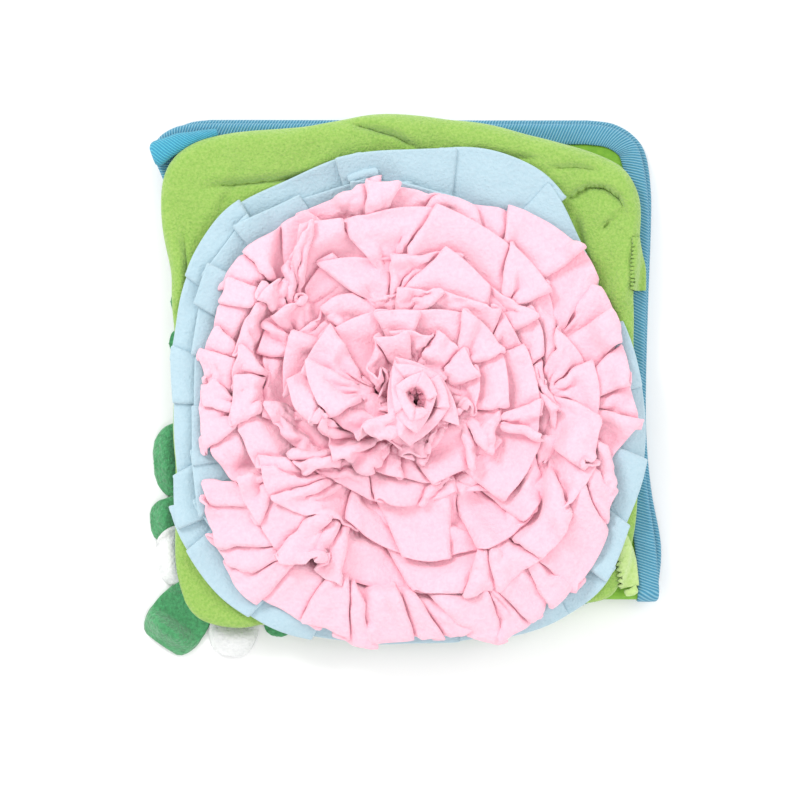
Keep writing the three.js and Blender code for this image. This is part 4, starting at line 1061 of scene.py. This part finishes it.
# ------------------------------------------------------------------ finishes
def finish(name, colour, deep, rough=0.95, grain=620.0, lump=150.0, bump=0.00055, sheen=0.35, tape=False):
    m = bpy.data.materials.new(name)
    m.use_nodes = True
    nt = m.node_tree
    nt.nodes.clear()
    out = nt.nodes.new("ShaderNodeOutputMaterial")
    b = nt.nodes.new("ShaderNodeBsdfPrincipled")
    nt.links.new(b.outputs[0], out.inputs[0])
    b.inputs["Roughness"].default_value = rough
    b.inputs["Sheen Weight"].default_value = sheen
    b.inputs["Sheen Roughness"].default_value = 0.78
    b.inputs["Specular IOR Level"].default_value = 0.12
    co = nt.nodes.new("ShaderNodeTexCoord")
    n1 = nt.nodes.new("ShaderNodeTexNoise")
    n1.inputs["Scale"].default_value = lump
    n1.inputs["Detail"].default_value = 3.0
    nt.links.new(co.outputs["Object"], n1.inputs["Vector"])
    ramp = nt.nodes.new("ShaderNodeValToRGB")
    ramp.color_ramp.elements[0].position = 0.32
    ramp.color_ramp.elements[0].color = (*deep, 1)
    ramp.color_ramp.elements[1].position = 0.68
    ramp.color_ramp.elements[1].color = (*colour, 1)
    nt.links.new(n1.outputs["Fac"], ramp.inputs["Fac"])
    nt.links.new(ramp.outputs["Color"], b.inputs["Base Color"])
    n2 = nt.nodes.new("ShaderNodeTexNoise")
    n2.inputs["Scale"].default_value = grain
    n2.inputs["Detail"].default_value = 2.0
    nt.links.new(co.outputs["Object"], n2.inputs["Vector"])
    bp = nt.nodes.new("ShaderNodeBump")
    bp.inputs["Distance"].default_value = bump
    bp.inputs["Strength"].default_value = 0.8
    nt.links.new(n2.outputs["Fac"], bp.inputs["Height"])
    last = bp
    if tape:
        uv = nt.nodes.new("ShaderNodeUVMap")
        uv.uv_map = "weave"
        rot = nt.nodes.new("ShaderNodeMapping")
        rot.inputs["Rotation"].default_value = (0, 0, math.radians(24))
        nt.links.new(uv.outputs[0], rot.inputs[0])
        w = nt.nodes.new("ShaderNodeTexWave")
        w.inputs["Scale"].default_value = 19.0
        w.inputs["Distortion"].default_value = 0.25
        nt.links.new(rot.outputs[0], w.inputs["Vector"])
        bw = nt.nodes.new("ShaderNodeBump")
        bw.inputs["Distance"].default_value = 0.0006
        bw.inputs["Strength"].default_value = 0.9
        nt.links.new(w.outputs["Fac"], bw.inputs["Height"])
        nt.links.new(bp.outputs[0], bw.inputs["Normal"])
        last = bw
        stripe = nt.nodes.new("ShaderNodeValToRGB")
        stripe.color_ramp.elements[0].position = 0.25
        stripe.color_ramp.elements[0].color = (*deep, 1)
        stripe.color_ramp.elements[1].position = 0.8
        stripe.color_ramp.elements[1].color = (*colour, 1)
        nt.links.new(w.outputs["Fac"], stripe.inputs["Fac"])
        nt.links.new(stripe.outputs["Color"], b.inputs["Base Color"])
    else:
        b2 = nt.nodes.new("ShaderNodeBump")
        b2.inputs["Distance"].default_value = 0.0012
        b2.inputs["Strength"].default_value = 0.35
        nt.links.new(n1.outputs["Fac"], b2.inputs["Height"])
        nt.links.new(bp.outputs[0], b2.inputs["Normal"])
        last = b2
    nt.links.new(last.outputs[0], b.inputs["Normal"])
    return m


PINK = finish("pink fleece", (0.93, 0.525, 0.625), (0.91, 0.465, 0.575), grain=620, lump=420, bump=0.0007)
SKY = finish("sky fleece", (0.41, 0.565, 0.64), (0.37, 0.53, 0.61), grain=620, lump=420, bump=0.0007)
LIME = finish("lime fleece", (0.30, 0.485, 0.072), (0.195, 0.40, 0.030), grain=760, lump=620, bump=0.0011)
FELT = finish("base felt", (0.216, 0.448, 0.04), (0.16, 0.376, 0.032), grain=420, lump=260, sheen=0.1)
TAPE = finish("binding tape", (0.18, 0.435, 0.56), (0.032, 0.23, 0.375), rough=0.7, grain=1500, lump=300, bump=0.0002, sheen=0.15, tape=True)
GREEN = finish("green fleece", (0.034, 0.335, 0.103), (0.013, 0.20, 0.055), grain=560, lump=480, bump=0.0016)
WHITE = finish("white fleece", (0.78, 0.79, 0.78), (0.70, 0.71, 0.71), grain=520, lump=330, bump=0.0013, sheen=0.5)
# the lime fleece again, made paler: a painted highlight for the turned end of the lime cloth and its knot, where they
# catch the light
LIME_PAINTED_HIGHLIGHT = finish("lime fleece, painted highlight", (0.50, 0.66, 0.25), (0.39, 0.58, 0.15), grain=420, lump=330, bump=0.0014)
# the binding tape again in a deeper, more saturated turquoise: painted shade, the colour the tape shows in the shade
# under its rolled corner
TAPE_PAINTED_SHADE = finish("binding tape, painted shade", (0.06, 0.45, 0.60), (0.01, 0.27, 0.45), rough=0.6, grain=1500, lump=300, bump=0.0002, sheen=0.2, tape=True)


def dress(ob, mat, node):
    ob.data.materials.clear()
    ob.data.materials.append(mat)
    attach(ob, "root")
    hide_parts(node)


def tube_piece(name, A, B, ra, rb, ha, hb, bow, across=28, long=40, end_in=0.35):
    """A turned corner or curl of cloth, as a flattened roll from A to B, open and hollow at its A end."""
    A, B = np.array(A, float), np.array(B, float)
    ax = unit(B - A)
    side = unit(np.cross([0, 0, 1.0], ax))
    f = np.linspace(0, 1, long)
    a = np.linspace(0, 2 * math.pi, across + 1)[:-1]
    c = A + (B - A) * f[:, None] + side * (bow * np.sin(np.pi * f))[:, None]
    w = lerp(ra, rb, smooth(f)) * (1 + 0.04 * np.sin(f * 17))
    h = lerp(ha, hb, smooth(f))
    rim = np.sqrt(np.clip(1 - (1 - np.clip(f / 0.09, 0, 1)) ** 2, 0, 1))
    w, h = w * (0.72 + 0.28 * rim), h * (0.72 + 0.28 * rim)
    out = c[:, None] + side * (w[:, None] * np.cos(a))[..., None] + np.array([0, 0, 1.0]) * (h[:, None] * np.sin(a))[..., None]
    back = []
    for step, (inn, k) in enumerate(((-0.2, 0.6), (0.3, 0.52), (2.0, 0.46), (5.0, 0.40), (6.0, 0.02))):
        back.append(c[0] + ax * inn + side * (w[0] / 0.72 * k * np.cos(a))[:, None] + np.array([0, 0, 1.0]) * (h[0] / 0.72 * k * np.sin(a))[:, None])
    tip = [c[-1] + ax * 0.8 + side * (w[-1] * k * np.cos(a))[:, None] + np.array([0, 0, 1.0]) * (h[-1] * k * np.sin(a))[:, None] for k in (0.7, 0.02)]
    rings = np.array(back[::-1] + list(out) + tip)
    n, m = rings.shape[:2]
    faces = [[i * m + j, (i + 1) * m + j, (i + 1) * m + (j + 1) % m, i * m + (j + 1) % m] for i in range(n - 1) for j in range(m)]
    faces += [[j for j in range(m)], [(n - 1) * m + j for j in range(m)][::-1]]
    ob = mesh_of(name, rings.reshape(-1, 3), faces)
    uv = ob.data.uv_layers.new(name="weave")
    s_ = np.concatenate([[0], np.cumsum(np.linalg.norm(np.diff(rings.mean(1), axis=0), axis=1))])
    idx = np.zeros(len(ob.data.loops), int)
    ob.data.loops.foreach_get("vertex_index", idx)
    uv.data.foreach_set("uv", np.stack([s_[idx // m] * 0.01, (idx % m) * 0.02], -1).ravel())
    return ob


def turned_strip(name, A, B, bow, narrow, wide, snip, up):
    """An end of the lime cloth from A to B, widening, with one long edge snipped unevenly."""
    n, k = 56, 7
    f = np.linspace(0, 1, n)
    A, B = np.array(A, float), np.array(B, float)
    ax = unit(B - A)
    side = np.array([-ax[1], ax[0]])
    mid = A + (B - A) * f[:, None] + side * (bow * np.sin(f * 2.6))[:, None]
    half = narrow + (wide - narrow) * smooth(f * 1.5)
    tooth = np.array([snip * (0.4 + 0.8 * hash_noise(q // 3, 91)) * ((q // 2) % 2) for q in range(n)]) * smooth(f * 4)
    c = np.linspace(-1, 1, k)
    across = c[None, :] * half[:, None]
    across[:, 0] += tooth
    X = mid[:, :1] + side[0] * across
    Y = mid[:, 1:] + side[1] * across
    under = sample(softened(widened(TOP, 1), 1), X, Y)
    Z = np.maximum(over_base(X, Y), under) + 1.1 + up * (1 - c[None, :] ** 2) * smooth(f * 3)[:, None] + 0.5 * soft_noise(X, Y, 9, 81)
    return sheet_mesh(name, np.stack([X, Y, Z], -1), 1.6, closed=False, nose=2, smooth_normals=1)


def taken_in(ob, extra, mat):
    """Joins a small piece of the same cloth to it, with its own finish."""
    extra.data.materials.clear()
    extra.data.materials.append(mat)
    with bpy.context.temp_override(active_object=ob, object=ob, selected_objects=[ob, extra], selected_editable_objects=[ob, extra]):
        bpy.ops.object.join()


base = make_base()
dress(base, FELT, "base_panel")
tape, tape_len, tape_wid = make_tape()
dress(tape, TAPE, "binding_tape")
corner_z = float(over_base(-140.0, 142.0))
# the rolled corner of the tape wears the turquoise of painted shade
taken_in(tape, tube_piece("tape_b", (-151.5, 141.0, corner_z + 4.6), (-113.0, 155.0, corner_z + 3.4), 7.4, 3.0, 4.4, 2.6, 2.2), TAPE_PAINTED_SHADE)
START = TOP.copy()
TOP[:] = 0
leaf_obs = [make_leaf(row, k) for k, row in enumerate(LEAVES)]
TOP[:] = START
lime = make_lime()
dress(lime, LIME, "lime_ruffle")
# its turned end in the paler lime, a painted highlight
taken_in(lime, turned_strip("lime_b", (127.5, -75.0), (134.5, -119.0), 1.6, 0.8, 6.0, 2.2, 1.5), LIME_PAINTED_HIGHLIGHT)
taken_in(lime, turned_strip("lime_d", (139.5, 92.0), (140.5, 60.0), 1.0, 2.0, 4.6, 2.6, 0.8), LIME)
knot_z = float(over_base(137.0, -121.0))
# the knot at that end, also in the paler lime of the painted highlight
taken_in(lime, tube_piece("lime_c", (140.5, -119.5, knot_z + 2.6), (134.0, -122.5, knot_z + 2.4), 2.6, 2.2, 2.3, 2.0, 0.8, across=16, long=12), LIME_PAINTED_HIGHLIGHT)
sky = make_sky()
dress(sky, SKY, "sky_ruffle")
loop_z = float(sample(softened(TOP, 1), np.array([-24.0]), np.array([128.6]))[0])
taken_in(sky, tube_piece("sky_c", (-15.5, 130.6, loop_z + 2.2), (-33.0, 126.6, loop_z + 1.9), 3.1, 2.6, 2.2, 1.7, -0.8, across=20, long=24), SKY)
UNDER = TOP.copy()
pink = make_pink()
dress(pink, PINK, "pink_ruffle")
for ob, name, white, long, wide in leaf_obs:
    dress(ob, WHITE if white else GREEN, name)

# ------------------------------------------------------------------ floor, light, camera
me = bpy.data.meshes.new("floor")
me.from_pydata([(-3, -3, -0.0002), (3, -3, -0.0002), (3, 3, -0.0002), (-3, 3, -0.0002)], [], [(0, 1, 2, 3)])
floor = bpy.data.objects.new("floor", me)
bpy.context.scene.collection.objects.link(floor)
fm = bpy.data.materials.new("floor")
fm.use_nodes = True
fb = fm.node_tree.nodes["Principled BSDF"]
fb.inputs["Base Color"].default_value = (0.93, 0.93, 0.93, 1)
fb.inputs["Roughness"].default_value = 0.9
fb.inputs["Specular IOR Level"].default_value = 0.05
floor.data.materials.append(fm)

world = bpy.data.worlds.new("room")
bpy.context.scene.world = world
world.use_nodes = True
world.node_tree.nodes["Background"].inputs[0].default_value = (1, 1, 1, 1)
wn = world.node_tree
wn.nodes["Background"].inputs[1].default_value = 0.97
seen = wn.nodes.new("ShaderNodeBackground")
seen.inputs[0].default_value = (1, 1, 1, 1)
seen.inputs[1].default_value = 1.0
path = wn.nodes.new("ShaderNodeLightPath")
either = wn.nodes.new("ShaderNodeMixShader")
wn.links.new(path.outputs["Is Camera Ray"], either.inputs[0])
wn.links.new(wn.nodes["Background"].outputs[0], either.inputs[1])
wn.links.new(seen.outputs[0], either.inputs[2])
wn.links.new(either.outputs[0], wn.nodes["World Output"].inputs[0])


def soft_light(name, at, size, power):
    li = bpy.data.lights.new(name, "AREA")
    li.shape = "DISK"
    li.size = size
    li.energy = power
    ob = bpy.data.objects.new(name, li)
    ob.location = at
    ob.rotation_mode = "QUATERNION"
    ob.rotation_quaternion = (Vector((0, 0, 0.02)) - Vector(at)).to_track_quat("-Z", "Y")
    bpy.context.scene.collection.objects.link(ob)


soft_light("key", (-1.3, 1.5, 1.6), 0.8, 30)
soft_light("fill", (1.6, 0.4, 1.7), 1.4, 11)
soft_light("low", (0.3, -1.7, 1.5), 1.4, 9)

cam_data = bpy.data.cameras.new("camera")
cam_data.lens = 120
cam_data.sensor_width = 36
cam = bpy.data.objects.new("camera", cam_data)
bpy.context.scene.collection.objects.link(cam)
cam.location = (-0.0022, -0.0065, 1.63)
cam.rotation_euler = (0, 0, 0)
bpy.context.scene.camera = cam
bpy.context.scene.view_settings.view_transform = "Standard"
